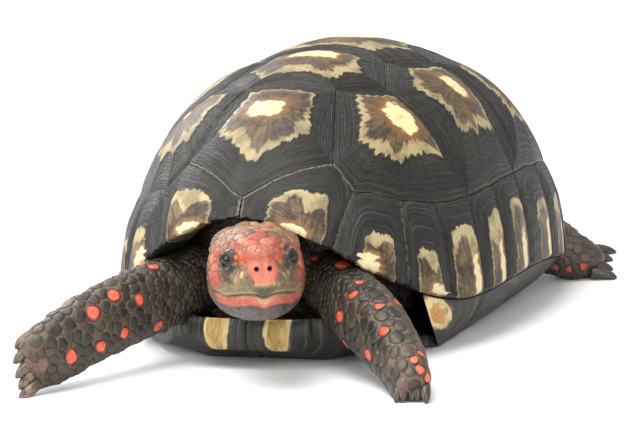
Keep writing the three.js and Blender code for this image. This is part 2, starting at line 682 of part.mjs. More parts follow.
function leg(name, stations, others) {
  const whole = claws(CLAWS[name]).reduce((sum, claw) => sum.add(claw), limb(stations, 13, 14, 2.4));
  addSolid(name, cutBy(onFloor(whole), others), 'skin');
}

const front = [solids.trunk, solids.neck, ...headNow];
const leftOpening = nearby(/^marginal_left_[1-4]$|^plastron_(gular|humeral)_left$/);
const rightOpening = nearby(/^marginal_right_[1-4]$|^plastron_(gular|humeral)_right$/);
leg('front_leg_left', FORELEG_LEFT, [...front, ...leftOpening]);
leg('front_leg_right', FORELEG_RIGHT, [...front, ...rightOpening]);
const hindNames = /^marginal_(left|right)_([7-9]|1[01])$|^plastron_(abdominal|femoral|anal)/;
leg('hind_leg_left', HINDLEG_LEFT, [solids.trunk, ...nearby(hindNames)]);
leg('hind_leg_right', HINDLEG_RIGHT, [solids.trunk, ...nearby(hindNames)]);
const tailNames = /^supracaudal$|_11$|^plastron_anal/;
addSolid('tail', cutBy(limb(TAIL_STATIONS, 8, 10, 2), [solids.trunk, ...nearby(tailNames)]), 'skin');

export default tortoise;
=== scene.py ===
import bpy
import bmesh
import math
import numpy as np
from mathutils import Matrix, Vector
from mathutils.bvhtree import BVHTree
from mathutils.kdtree import KDTree


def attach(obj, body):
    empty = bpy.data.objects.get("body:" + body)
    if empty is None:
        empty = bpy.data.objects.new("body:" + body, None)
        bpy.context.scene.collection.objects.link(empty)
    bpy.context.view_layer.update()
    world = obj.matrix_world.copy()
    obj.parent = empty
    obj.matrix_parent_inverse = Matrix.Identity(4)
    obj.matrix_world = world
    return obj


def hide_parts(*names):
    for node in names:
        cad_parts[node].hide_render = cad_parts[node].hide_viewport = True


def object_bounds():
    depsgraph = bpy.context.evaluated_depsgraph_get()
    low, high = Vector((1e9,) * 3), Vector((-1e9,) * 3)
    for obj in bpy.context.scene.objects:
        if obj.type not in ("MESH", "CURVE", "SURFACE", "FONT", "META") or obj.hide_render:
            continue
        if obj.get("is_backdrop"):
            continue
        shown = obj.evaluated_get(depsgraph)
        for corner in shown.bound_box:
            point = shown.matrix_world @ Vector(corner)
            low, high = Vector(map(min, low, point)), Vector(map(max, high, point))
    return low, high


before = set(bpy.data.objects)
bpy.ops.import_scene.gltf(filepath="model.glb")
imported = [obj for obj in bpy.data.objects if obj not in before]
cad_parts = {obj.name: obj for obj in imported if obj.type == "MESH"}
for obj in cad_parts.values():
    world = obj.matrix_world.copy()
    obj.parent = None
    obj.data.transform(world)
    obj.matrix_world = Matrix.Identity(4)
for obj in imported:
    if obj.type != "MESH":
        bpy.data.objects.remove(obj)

cad_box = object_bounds()

# ---- The studio: camera, lights and floor ----
# A low three-quarter view from a long lens, under one large soft overhead light and a white surround.
# The floor is a plain matt white sheet.

CAMERA = {"azimuth": 19.42, "elevation": 9.68, "roll": -2.39, "distance": 1.2405, "lens": 169.8}
CAMERA_TARGET = Vector((-0.00047, -0.00968, 0.04743))

azimuth, elevation, roll = (math.radians(CAMERA[k]) for k in ("azimuth", "elevation", "roll"))
back = Vector((
    math.sin(azimuth) * math.cos(elevation),
    -math.cos(azimuth) * math.cos(elevation),
    math.sin(elevation),
))
level = Vector((0, 0, 1)).cross(back).normalized()
upright = back.cross(level)
right = level * math.cos(roll) + upright * math.sin(roll)
top = upright * math.cos(roll) - level * math.sin(roll)
camera_data = bpy.data.cameras.new("studio_camera")
camera_data.lens = CAMERA["lens"]
camera_data.sensor_width = 36
camera_data.clip_start = 0.05
camera = bpy.data.objects.new("studio_camera", camera_data)
bpy.context.scene.collection.objects.link(camera)
camera.matrix_world = Matrix((right, top, back)).transposed().to_4x4()
camera.location = CAMERA_TARGET + back * CAMERA["distance"]
bpy.context.scene.camera = camera
bpy.context.scene.view_settings.view_transform = "Standard"

# Each light: place, what it points at, size of its square face, power and colour.
LIGHTS = {
    "overhead_softbox": ((-0.25, -0.35, 1.3), (0, 0, 0.03), 1.0, 26, (1.0, 0.99, 0.97)),
    "front_fill": ((0.9, -1.5, 0.75), (0, 0, 0.05), 1.0, 14.5, (1.0, 1.0, 1.0)),
    "rear_left_sheen": ((-1.0, 0.75, 0.75), (0, 0, 0.08), 0.7, 9, (1.0, 1.0, 1.0)),
    "left_fill": ((-1.4, -0.9, 0.7), (0, 0, 0.05), 0.9, 16, (1.0, 1.0, 1.0)),
}
for name, (place, aim, size, power, colour) in LIGHTS.items():
    light_data = bpy.data.lights.new(name, "AREA")
    light_data.size = size
    light_data.energy = power
    light_data.color = colour
    light = bpy.data.objects.new(name, light_data)
    bpy.context.scene.collection.objects.link(light)
    light.location = place
    light.rotation_mode = "QUATERNION"
    light.rotation_quaternion = (Vector(place) - Vector(aim)).to_track_quat("Z", "Y")

surround = bpy.data.worlds.new("white_surround")
bpy.context.scene.world = surround
surround.use_nodes = True
surround.node_tree.nodes["Background"].inputs["Color"].default_value = (1, 1, 1, 1)
surround.node_tree.nodes["Background"].inputs["Strength"].default_value = 0.85


def add_node(tree, kind, values=None, **settings):
    """A shader node with its settings, and its inputs given as values or as other nodes' sockets."""
    node = tree.nodes.new(kind)
    for key, value in settings.items():
        setattr(node, key, value)
    for key, value in (values or {}).items():
        if isinstance(value, bpy.types.NodeSocket):
            tree.links.new(value, node.inputs[key])
        else:
            node.inputs[key].default_value = value
    return node


def new_material(name, surface=None):
    """An empty material with its Principled shader, whose constant values are set on its own sockets."""
    material = bpy.data.materials.new(name)
    material.use_nodes = True
    shader = material.node_tree.nodes["Principled BSDF"]
    for key, value in (surface or {}).items():
        shader.inputs[key].default_value = value
    return material, material.node_tree, shader


bpy.ops.object.select_all(action="DESELECT")
bpy.ops.mesh.primitive_plane_add(size=8, location=(0, 0, 0))
floor = bpy.context.object
floor.name = "studio_floor"
floor_paint, tree, shader = new_material("floor_paint", {"Roughness": 0.5})
grain = add_node(tree, "ShaderNodeTexNoise", {"Scale": 40.0})
shade = add_node(tree, "ShaderNodeMapRange", {"Value": grain.outputs["Fac"], "To Min": 0.86, "To Max": 0.88})
tree.links.new(shade.outputs["Result"], shader.inputs["Base Color"])
floor.data.materials.append(floor_paint)
floor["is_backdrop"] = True

# ---- Carapace: the dome the scutes lie on ----
# The upper shell is a bony dome covered by horny scutes. Its shape is a squared oval rim with its own
# height all the way round, and a rounded profile up to the top. Millimetres, then moved into place.

SHELL_HALF_LENGTH = 125.0
SHELL_HALF_WIDTH = 84.0
SHELL_TOP = 113.6
RIM_SQUARENESS = 2.5
REAR_FLARE = 0.05
APEX_BACK = 2.7
DOME_POWER = (0.99, 0.84)
RIM_HEIGHTS = np.array([60.9, 41.5, 22.7, 22.7, 14.7, 27.5, 30.0])  # every 30 degrees, front to back
RIM_SLOPE = {"front": 20.7, "side": 1.4, "rear": 7.3}
SHELL_SHIFT = np.array([-3.6, 28.7, 0.0])


def in_row(points):
    """Millimetres of the shell's own frame as metres of the row's frame."""
    return (np.asarray(points, float) + SHELL_SHIFT) * 0.001


def signed_power(value, power):
    return np.sign(value) * np.abs(value) ** power


def smooth(value):
    value = np.clip(value, 0, 1)
    return value * value * (3 - 2 * value)


def unit(vectors):
    return vectors / np.maximum(np.linalg.norm(vectors, axis=-1, keepdims=True), 1e-12)


def through(before, here, after, beyond, t):
    """A smooth curve at t between two values, given also the values on either side of them."""
    curve = (2 * before - 5 * here + 4 * after - beyond) * t ** 2
    twist = (3 * here - before - 3 * after + beyond) * t ** 3
    return here + ((after - before) * t + curve + twist) / 2


def rim_height(degrees):
    """A smooth curve through the rim's heights, level at both ends."""
    last = len(RIM_HEIGHTS) - 1
    place = np.minimum(np.abs(degrees) / 30, last - 1e-9)
    knot = place.astype(int)
    t = place - knot
    before, here, after = (RIM_HEIGHTS[k] for k in (np.abs(knot - 1), knot, knot + 1))
    beyond = RIM_HEIGHTS[np.where(knot + 2 > last, 2 * last - knot - 2, knot + 2)]
    return through(before, here, after, beyond, t)


def dome(disc):
    """The shell above flat disc points (n, 2): first to the left, second forward, the rim at radius 1."""
    p, q = disc[..., 0], disc[..., 1]
    rho, theta = np.hypot(p, q), np.arctan2(p, q)
    forward = np.cos(theta)
    end = np.where(forward > 0, RIM_SLOPE["front"], RIM_SLOPE["rear"])
    lean = np.radians(RIM_SLOPE["side"] + (end - RIM_SLOPE["side"]) * forward ** 2)
    angle = lean + (math.pi / 2 - lean) * (1 - rho)
    across = (np.maximum(np.cos(angle), 0) / np.cos(lean)) ** DOME_POWER[0]
    rim_up = signed_power(np.sin(lean), DOME_POWER[1])
    base = (rim_height(np.degrees(theta)) - SHELL_TOP * rim_up) / (1 - rim_up)
    y = -SHELL_HALF_LENGTH * signed_power(forward, 2 / RIM_SQUARENESS)
    flare = 1 + REAR_FLARE * y / SHELL_HALF_LENGTH
    x = SHELL_HALF_WIDTH * signed_power(np.sin(theta), 2 / RIM_SQUARENESS) * flare
    rise = signed_power(np.sin(angle), DOME_POWER[1])
    return np.stack([x * across, y * across + APEX_BACK * (1 - across), base + (SHELL_TOP - base) * rise], -1)


def dome_normal(disc):
    pull = np.minimum(1, 0.996 / np.maximum(np.hypot(disc[..., 0], disc[..., 1]), 1e-6))[..., None]
    along, ahead = np.array([0.002, 0.0]), np.array([0.0, 0.002])
    side = dome(disc * pull + along) - dome(disc * pull - along)
    front = dome(disc * pull + ahead) - dome(disc * pull - ahead)
    return unit(np.cross(front, side))


def disc_at(degrees, radius):
    degrees = np.radians(degrees)
    return np.stack([np.sin(degrees) * radius, np.cos(degrees) * radius], -1)


def carry(mesh, key, values):
    """Gives each point of a mesh its own number or colour, for the material to read."""
    kind, field = ("FLOAT_VECTOR", "vector") if values.ndim == 2 else ("FLOAT", "value")
    mesh.attributes.new(key, kind, "POINT").data.foreach_set(field, values.astype(np.float32).ravel())


def plain_mesh(name, points, faces):
    """An object of its own from points in millimetres and closed faces."""
    mesh = bpy.data.meshes.new(name)
    mesh.from_pydata(in_row(points).tolist(), [], faces)
    piece = bpy.data.objects.new(name, mesh)
    bpy.context.scene.collection.objects.link(piece)
    return piece


def mesh_piece(name, points, faces, carried, material, nodes=()):
    """A named piece on the body, smooth, with its points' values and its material."""
    piece = plain_mesh(name, points, faces)
    for key, values in carried.items():
        carry(piece.data, key, values)
    piece.data.polygons.foreach_set("use_smooth", [True] * len(piece.data.polygons))
    piece.data.update()
    piece.data.materials.append(material)
    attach(piece, "root")
    if nodes:
        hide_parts(*nodes)
    return piece


def waves(along, seed, count=5, highest=9):
    """A gentle irregular wave, about 1 high, the same every time for one seed."""
    dice = np.random.default_rng(seed)
    total = np.zeros_like(along)
    for _ in range(count):
        total += np.sin(along * dice.uniform(1, highest) * 2 * math.pi + dice.uniform(0, 7)) / count
    return total * 1.6


# ---- Carapace: horn material ----
# Scutes are glossy black-brown horn. Each has a pale, older middle, the areola, with a cream outline
# and a bright heart, and round it the fine ridges of every year's growth. The attribute "stage" runs
# from 0 in the heart over 1 at the areola's edge to 2 at the seam; "turn" is the way round.

def new_group(name, inputs, outputs):
    """A shader node group with named sockets, returned with its input and output nodes."""
    group = bpy.data.node_groups.new(name, "ShaderNodeTree")
    for socket, kind, value in inputs:
        made = group.interface.new_socket(socket, in_out="INPUT", socket_type=kind)
        made.default_value = value
    for socket, kind in outputs:
        group.interface.new_socket(socket, in_out="OUTPUT", socket_type=kind)
    return group, group.nodes.new("NodeGroupInput").outputs, group.nodes.new("NodeGroupOutput").inputs


def math_node(tree, operation, *values):
    return add_node(tree, "ShaderNodeMath", dict(enumerate(values)), operation=operation).outputs[0]


def times(tree, first, second):
    """The product of two masks or numbers."""
    return math_node(tree, "MULTIPLY", first, second)


def blend(tree, share, first, second, way="MIX"):
    """Two colours, each a socket or three numbers, mixed by a share or with another way of blending."""
    first, second = (c if isinstance(c, bpy.types.NodeSocket) else (*c, 1) for c in (first, second))
    values = {0: share, 6: first, 7: second}
    return add_node(tree, "ShaderNodeMix", values, data_type="RGBA", blend_type=way).outputs[2]


def step_mask(tree, value, low, high, full=1.0):
    """0 below low and full above high, smooth between; low may be the larger."""
    turned = low > high
    span = {"From Min": min(low, high), "From Max": max(low, high), "To Min": full * turned,
            "To Max": full * (not turned), "Value": value}
    return add_node(tree, "ShaderNodeMapRange", span, interpolation_type="SMOOTHSTEP").outputs["Result"]


def noise(tree, vector, scale, detail=2.0, roughness=0.5):
    values = {"Vector": vector, "Scale": scale, "Detail": detail, "Roughness": roughness}
    return add_node(tree, "ShaderNodeTexNoise", values).outputs["Fac"]


def own_place(tree):
    return add_node(tree, "ShaderNodeTexCoord").outputs["Object"]


def carried_value(tree, key, output="Fac"):
    """What the mesh's points carry under a name, as a number or, with output "Vector", as a colour."""
    return add_node(tree, "ShaderNodeAttribute", attribute_name=key).outputs[output]


def lay_surface(tree, shader, colour, roughness=None, relief=None, depth=0.0, strength=1.0):
    """Joins colour, roughness and relief to a material's shader; depth is in metres."""
    tree.links.new(colour, shader.inputs["Base Color"])
    if roughness is not None:
        tree.links.new(roughness, shader.inputs["Roughness"])
    if relief is not None:
        bump = add_node(tree, "ShaderNodeBump", {"Height": relief, "Distance": depth, "Strength": strength})
        tree.links.new(bump.outputs["Normal"], shader.inputs["Normal"])


# Growth: masks of the areola, its outline and heart, and the height of the growth ridges.
growth, given, result = new_group("scute_growth", [
    ("Stage", "NodeSocketFloat", 1.0),
    ("Turn", "NodeSocketVector", (0, 0, 0)),
    ("Heart", "NodeSocketFloat", 0.0),
    ("Band", "NodeSocketFloat", 0.3),
    ("Ragged", "NodeSocketFloat", 0.3),
], [(name, "NodeSocketFloat") for name in ("Areola", "Outline", "Heart", "Halo", "Streaks", "Ridges",
                                           "Arcs")])


def growth_noise(turn_scale, stage_scale, detail, roughness=0.5):
    """Noise that runs round the areola and out from it at its own two scales."""
    scaled = {0: given["Turn"], "Scale": turn_scale}
    turn = add_node(growth, "ShaderNodeVectorMath", scaled, operation="SCALE")
    out = times(growth, given["Stage"], stage_scale)
    out = add_node(growth, "ShaderNodeCombineXYZ", {"Z": out})
    both = add_node(growth, "ShaderNodeVectorMath", {0: turn.outputs[0], 1: out.outputs[0]}, operation="ADD")
    return noise(growth, both.outputs[0], 1.0, detail, roughness)


lobes = growth_noise(1.6, 0.3, 1.0)
teeth = growth_noise(9.0, 0.9, 3.0, 0.65)
teeth = times(growth, math_node(growth, "SUBTRACT", teeth, 0.5), 0.75)
wander = math_node(growth, "MULTIPLY_ADD", math_node(growth, "SUBTRACT", lobes, 0.5), 0.5, teeth)
edge = math_node(growth, "MULTIPLY_ADD", wander, given["Ragged"], given["Stage"])
areola = step_mask(growth, edge, 1.03, 0.98)
broken = math_node(growth, "ADD", step_mask(growth, lobes, 0.42, 0.66, 0.75), 0.25)
band_width = times(growth, given["Band"], broken)
band_start = math_node(growth, "SUBTRACT", 0.96, times(growth, band_width, 0.62))
into_band = math_node(growth, "SUBTRACT", edge, band_start)
heart_noise = math_node(growth, "SUBTRACT", noise(growth, own_place(growth), 330, 3.0), 0.5)
glow = math_node(growth, "MULTIPLY_ADD", heart_noise, 0.75, given["Heart"])
broad, fine = growth_noise(1.2, 26.0, 2.0), growth_noise(2.2, 85.0, 2.0, 0.6)
for name, mask in {
    "Areola": areola,
    "Outline": times(growth, step_mask(growth, into_band, -0.05, 0.05), areola),
    "Heart": step_mask(growth, glow, 0.0, 0.20),
    "Halo": step_mask(growth, glow, -0.55, 0.05),
    "Arcs": step_mask(growth, growth_noise(0.9, 8.0, 2.0, 0.6), 0.50, 0.60),
    "Streaks": growth_noise(13.0, 1.1, 3.0, 0.6),
    "Ridges": math_node(growth, "MULTIPLY_ADD", fine, 0.45, broad),
}.items():
    growth.links.new(mask, result[name])


def horn_material(name, dark, mid, dull, pale, heart_colour, ragged, roughness):
    """Scute horn: dark field, ochre and dull brown inside the areola, pale outline and heart."""
    material, tree, shader = new_material(name, {"IOR": 1.45, "Specular IOR Level": 0.36})
    node = tree.nodes.new("ShaderNodeGroup")
    node.node_tree = growth
    for key in ("Stage", "Turn", "Heart", "Band"):
        value = carried_value(tree, key.lower(), "Vector" if key == "Turn" else "Fac")
        tree.links.new(value, node.inputs[key])
    node.inputs["Ragged"].default_value = ragged
    masks = node.outputs
    spot = own_place(tree)
    cloud = noise(tree, spot, 38, 3.0)
    patch = noise(tree, spot, 120, 3.0)
    speck = noise(tree, spot, 900, 2.0)
    tinted = lambda colour, gain: tuple(c * gain for c in colour)
    field = blend(tree, step_mask(tree, cloud, 0.35, 0.68), dark, tinted(dark, 2.0))
    # The growth ridges are painted paler: partly the horn's own colour, partly a painted grey sheen.
    field = blend(tree, step_mask(tree, masks["Ridges"], 0.74, 0.94, 0.65), field, tinted(dark, 7.0))
    inside = blend(tree, step_mask(tree, patch, 0.40, 0.62), mid, dull)
    streaks = step_mask(tree, masks["Streaks"], 0.60, 0.38, min(0.65, ragged * 1.5))
    inside = blend(tree, streaks, inside, tinted(dull, 0.32))
    inside = blend(tree, times(tree, masks["Arcs"], 0.55), inside, tinted(dull, 0.28))
    colour = blend(tree, masks["Areola"], field, inside)
    uneven = math_node(tree, "ADD", step_mask(tree, patch, 0.62, 0.42, 0.45), 0.5)
    colour = blend(tree, times(tree, masks["Outline"], uneven), colour, pale)
    warm = (mid[0] * 1.5, mid[1] * 1.1, mid[2] * 0.75)
    colour = blend(tree, times(tree, times(tree, masks["Halo"], masks["Areola"]), 0.75), colour, warm)
    colour = blend(tree, masks["Heart"], colour, heart_colour)
    colour = blend(tree, carried_value(tree, "fresh"), colour, (0.33, 0.29, 0.23))
    specks = step_mask(tree, speck, 0.64, 0.74, 0.7)
    colour = blend(tree, specks, colour, (0.05, 0.04, 0.03), "MULTIPLY")
    gloss = math_node(tree, "MULTIPLY_ADD", cloud, 0.22, roughness)
    gloss = math_node(tree, "MULTIPLY_ADD", masks["Ridges"], 0.10, gloss)
    ridged = times(tree, masks["Ridges"], math_node(tree, "MULTIPLY_ADD", masks["Areola"], -0.75, 1.0))
    rough_heart = times(tree, times(tree, masks["Streaks"], masks["Areola"]), 0.5)
    relief = math_node(tree, "MULTIPLY_ADD", speck, 0.10, math_node(tree, "ADD", ridged, rough_heart))
    lay_surface(tree, shader, colour, gloss, relief, 0.00036)
    return material


horn = horn_material(
    "shell_horn", dark=(0.0074, 0.0068, 0.0054), mid=(0.122, 0.075, 0.032), dull=(0.060, 0.042, 0.027),
    pale=(0.30, 0.237, 0.118), heart_colour=(0.60, 0.50, 0.26), ragged=0.46, roughness=0.29)

# ---- Carapace: vertebral and costal scutes ----
# Five scutes down the back and four along each side, each a closed plate of horn that meets its
# neighbours along a wavy seam, humped in the middle and drawn in and rounded at the border.

CORNERS = {
    "f": (0, 0.928), "a": (0.275, 0.671), "b": (0.158, 0.37), "c": (0.303, 0.228), "d": (0.219, 0.09),
    "e": (0.306, -0.036), "g": (0.219, -0.21), "h": (0.285, -0.335), "i": (0.175, -0.485), "j": (0.3, -0.735),
}
MARGINAL_SEAMS = [  # angle at the rim, angle and radius at the upper end
    (21.5, 28.4, 0.795), (43.4, 43.4, 0.785), (57.5, 56, 0.778), (69.3, 68.5, 0.774), (79, 79, 0.77),
    (88.5, 88.5, 0.767), (98.5, 98.5, 0.767), (112, 113, 0.77), (125, 126, 0.785), (143, 143, 0.795),
    (166, 166, 0.81),
]
for k, (_, degrees, radius) in enumerate(MARGINAL_SEAMS):
    CORNERS[f"t{k + 1}"] = tuple(disc_at(degrees, radius))
SEAM_BOWS = {("c", "t4"): -0.028, ("e", "t6"): -0.024, ("h", "t8"): -0.02}  # costal seams curve backwards
SEAM_STEP = 0.95  # mm between points along a border
SEAM_WAVE = 0.0026  # how far a seam wanders on the disc
SEAM_GAP = 0.1
PLATE_DEPTH = 4.4
FRESH_SEAMS = {("a", "f"): 1.0, ("a-", "f"): 0.9, ("a", "t1"): 0.45, ("b", "b-"): 0.15}

# Every scute: its corners, the middle of its areola, how far out the areola reaches at each corner, and
# its pale heart: middle and half sizes on the disc.
VERTEBRALS = [
    ("f a b b- a-", (0.0, 0.562), (0.66, 0.58, 0.66, 0.68, 0.60), (-0.014, 0.556, 0.050, 0.042)),
    ("b c d d- c- b-", (0.0, 0.215), (0.80, 0.70, 0.70, 0.70, 0.70, 0.80), (0.0, 0.185, 0.085, 0.038)),
    ("d e g g- e- d-", (0.0, -0.065), (0.74, 0.72, 0.72, 0.72, 0.72, 0.74), (0.0, -0.085, 0.075, 0.04)),
    ("g h i i- h- g-", (0.0, -0.35), (0.70, 0.68, 0.66, 0.66, 0.68, 0.70), (0.0, -0.365, 0.07, 0.04)),
    ("i j t11 t11- j- i-", (0.0, -0.61), (0.66, 0.58, 0.52, 0.52, 0.58, 0.66), (0.0, -0.61, 0.07, 0.05)),
]
COSTALS = [
    ("a t1 t2 t3 t4 c b", (0.402, 0.318), (0.64, 0.58, 0.63, 0.52, 0.59, 0.76, 0.72),
     (0.402, 0.322, 0.068, 0.050)),
    ("c t4 t5 t6 e d", (0.440, 0.035), (0.62, 0.50, 0.52, 0.62, 0.78, 0.70), (0.436, 0.025, 0.072, 0.026)),
    ("e t6 t7 t8 h g", (0.440, -0.245), (0.62, 0.50, 0.52, 0.62, 0.78, 0.70), (0.436, -0.262, 0.070, 0.028)),
    ("h t8 t9 t10 j i", (0.385, -0.535), (0.62, 0.52, 0.52, 0.58, 0.70, 0.68), (0.385, -0.545, 0.060, 0.035)),
]
HEART_SIZES = {"costal_right_1": 0.25, "costal_left_2": 0.8}  # hearts that differ from their pair's
SIDE_DIP = 0.88  # an areola reaches less far between two corners


def corner(name, side=1):
    mirrored = -side if name.endswith("-") else side
    p, q = CORNERS[name.rstrip("-")]
    return np.array([p * mirrored, q])


def plain_side(name, side):
    """A corner's name as seen from the whole shell: x- is on the right side."""
    return name if side == 1 or name == "f" else (name[:-1] if name.endswith("-") else name + "-")


def seam(first, second, side=1):
    """Points along a seam without its last one, the same from both sides of it."""
    names = plain_side(first, side), plain_side(second, side)
    low, high = sorted(names)
    start, end = corner(low), corner(high)
    count = max(3, int(np.linalg.norm(dome(start) - dome(end)) / SEAM_STEP))
    t = np.linspace(0, 1, count + 1)
    bow = SEAM_BOWS.get(tuple(name.rstrip("-") for name in (low, high)), 0)
    bow = bow or SEAM_BOWS.get(tuple(name.rstrip("-") for name in (high, low)), 0)
    line = start + (end - start) * t[:, None]
    line[:, 1] += bow * 4 * t * (1 - t)
    across = unit(np.array([start[1] - end[1], end[0] - start[0]]))
    seed = sum(ord(letter) * (k + 1) for k, letter in enumerate(low + high))
    wander = waves(t * count * SEAM_STEP / 45, seed, 6, 8) * SEAM_WAVE * smooth(np.minimum(t, 1 - t) * 8)
    line += across * wander[:, None]
    fresh = FRESH_SEAMS.get((low, high), 0) * (0.55 + 0.45 * waves(t * 3, seed + 1))
    fresh = np.clip(fresh, 0, 1) + 0.10 * np.clip(waves(t * 5, seed + 2), 0, 1)
    if names != (low, high):
        line, fresh = line[::-1], fresh[::-1]
    return line[:-1], fresh[:-1]


def round_about(values, reach):
    """A closed run of values smoothed along itself."""
    kernel = np.hanning(2 * reach + 3)[1:-1]
    wrapped = np.concatenate([values[-reach:], values, values[:reach]])
    return np.convolve(wrapped, kernel / kernel.sum(), "valid")


def ring_faces(ring_count, count):
    """Faces over closed rings of points, and from the first and the last ring to the two tips after them."""
    k = np.arange(count)
    after = (k + 1) % count
    tip = ring_count * count
    faces = []
    for start in range(0, tip - count, count):
        faces += np.stack([start + k, start + count + k, start + count + after, start + after], 1).tolist()
    faces += np.stack([np.full(count, tip), k, after], 1).tolist()
    faces += np.stack([np.full(count, tip + 1), tip - count + after, tip - count + k], 1).tolist()
    return faces


AREOLA_RINGS = 20
GROWTH_RINGS = 44
SCUTE_HUMP = 1.5  # mm, from the border to the middle
SCUTE_SUNK = 0.55
AREOLA_RISE = 0.25
SEAM_STAGE = 2.05  # the stage carried by what no one sees
NO_HEART = -9.0
YEAR_LINES = np.array([0.09, 0.17, 0.27, 0.36, 0.47, 0.55, 0.64, 0.72, 0.80, 0.87, 0.93])


def year_relief(stage, seed):
    """Height of the growth annuli in mm: each year's ring is a low round ridge between two grooves."""
    grown = np.clip(stage - 1, 0, 1)
    lines = YEAR_LINES + np.random.default_rng(seed).uniform(-0.02, 0.02, len(YEAR_LINES))
    nearest = np.min(np.abs(grown[..., None] - lines), axis=-1)
    return -0.34 * np.exp(-(nearest / 0.014) ** 2) * smooth(grown * 12)


def scute(name, names, middle, reaches, heart, side):
    """One scute of the dome: rings from its middle out to its border, then its wall and its hidden bed."""
    names = names.split()
    runs = [seam(first, names[(k + 1) % len(names)], side) for k, first in enumerate(names)]
    border = np.concatenate([run[0] for run in runs])
    fresh = np.concatenate([run[1] for run in runs])
    count = len(border)
    starts = np.cumsum([0] + [len(run[0]) for run in runs])
    reach = np.interp(np.arange(count), starts, [*reaches, reaches[0]])
    along = np.interp(np.arange(count), starts, np.arange(len(starts))) % 1
    reach = round_about(reach * (1 - (1 - SIDE_DIP) * np.sin(along * math.pi) ** 0.7), 4)
    middle = np.array([middle[0] * side, middle[1]])
    seed = sum(map(ord, name))
    round_share = np.arange(count) / count
    reach = reach * (1 + 0.05 * waves(round_share * 4, seed))
    spokes = border - middle
    lengths = np.linalg.norm(spokes, axis=1)
    even = round_about(lengths, max(3, count // 14)) / lengths
    inner = np.linspace(0, 1, AREOLA_RINGS + 1)[1:, None] * np.ones(count)
    outer = 1 - (1 - np.linspace(0, 1, GROWTH_RINGS + 1)[1:]) ** 1.15
    outer = outer[:, None] * np.ones(count)
    share = np.concatenate([inner * reach, reach + (1 - reach) * outer])
    stage = np.concatenate([inner, 1 + outer])
    rounding = 1 - smooth((share - 0.2) / 0.75)
    share = share * (1 + (even - 1) * rounding)
    width = np.linalg.norm(dome(border) - dome(middle), axis=1)
    share = share * (1 - SEAM_GAP / width)
    disc = middle + spokes * share[..., None]
    hump = SCUTE_HUMP * (1 - smooth(share)) - SCUTE_SUNK
    edge_drop = -0.55 * smooth((share - 0.95) / 0.05) ** 2 - 0.25 * smooth((share - 0.86) / 0.12)
    turn_noise = waves(round_share * 6, seed + 3)
    grainy = 0.05 * np.sin(stage * 31 + turn_noise * 3) * (1 - smooth((stage - 0.6) / 0.5))
    lift = hump + edge_drop + year_relief(stage + 0.012 * turn_noise, seed) + grainy
    lift += AREOLA_RISE * (1 - smooth((stage - 0.9) / 0.2))
    normals = dome_normal(disc)
    face = dome(disc) + normals * lift[..., None]
    wall = dome(disc[-1]) - normals[-1] * (PLATE_DEPTH * 0.35)
    inner_edge = dome(middle + (disc[-1] - middle) * 0.985) - normals[-1] * PLATE_DEPTH
    half_way = dome(middle + (disc[-1] - middle) * 0.5) - normals[-1] * PLATE_DEPTH
    tip = dome(middle) + dome_normal(middle) * (SCUTE_HUMP - SCUTE_SUNK + AREOLA_RISE)
    under = dome(middle) - dome_normal(middle) * PLATE_DEPTH
    rings = np.concatenate([face, [wall, inner_edge, half_way]])
    points = np.concatenate([rings.reshape(-1, 3), [tip, under]])
    faces = ring_faces(len(rings), count)
    if side == -1:
        faces = [face[::-1] for face in faces]

    # What each point carries: the rings of the face, the three hidden rings, then the two tips.
    angle = round_share * 2 * math.pi
    turn = np.stack([np.cos(angle), np.sin(angle), np.full(count, seed % 17)], 1)
    fade = smooth((share - 0.978) / 0.016)
    heart_at = np.array([heart[0] * side, heart[1]])
    ratio = ((np.abs(disc - heart_at) / heart[2:]) ** 3).sum(axis=-1) ** (1 / 3)
    front_outer = unit(spokes) @ unit([0.35 * side, 1.0])
    band = 0.12 + 0.42 * smooth((front_outer + 0.1) / 0.9)
    carried = {}
    for key, seen, hidden, tips in (
        ("stage", stage, SEAM_STAGE, [0.0, SEAM_STAGE]),
        ("fresh", fade * fresh, fresh, [0, 0]),
        ("heart", 1 - ratio, NO_HEART, [1 - ratio[0].mean(), NO_HEART]),
        ("band", band + 0 * share, band, [0.2, 0.2]),
    ):
        carried[key] = np.concatenate([seen.ravel(), *(hidden + np.zeros((3, count))), tips])
    carried["turn"] = np.concatenate([np.tile(turn, (len(rings), 1)), [[0, 0, seed % 17]] * 2])
    mesh_piece(name, points, faces, carried, horn, [name])


for k, plan in enumerate(VERTEBRALS):
    scute(f"vertebral_{k + 1}", *plan, 1)
for side_name, side in (("left", 1), ("right", -1)):
    for k, (names, middle, reaches, heart) in enumerate(COSTALS):
        name = f"costal_{side_name}_{k + 1}"
        heart = (*heart[:2], *(np.array(heart[2:]) * HEART_SIZES.get(name, 1)))
        scute(name, names, middle, reaches, heart, side)

# ---- Carapace: marginal scutes ----
# Eleven scutes each side and one over the tail edge the shell. Each runs down to the rim and folds
# under it: to a thin lip over the legs, head and tail, and on to the bridge along the flanks.

BRIDGE = (46, 112)  # degrees from the front between which the bridge holds
BRIDGE_FADE = 8
BRIDGE_SEAM = 0.93
BRIDGE_CURVE = 1.7
FLOOR_HALF_WIDTH = 61
RIM_LIP = {"thickness": 4.5, "depth": 17}
MARGINAL_TOPS = ["f a t1", "t1 t2", "t2 t3", "t3 t4", "t4 t5", "t5 t6", "t6 t7", "t7 t8", "t8 t9", "t9 t10",
                 "t10 j t11"]
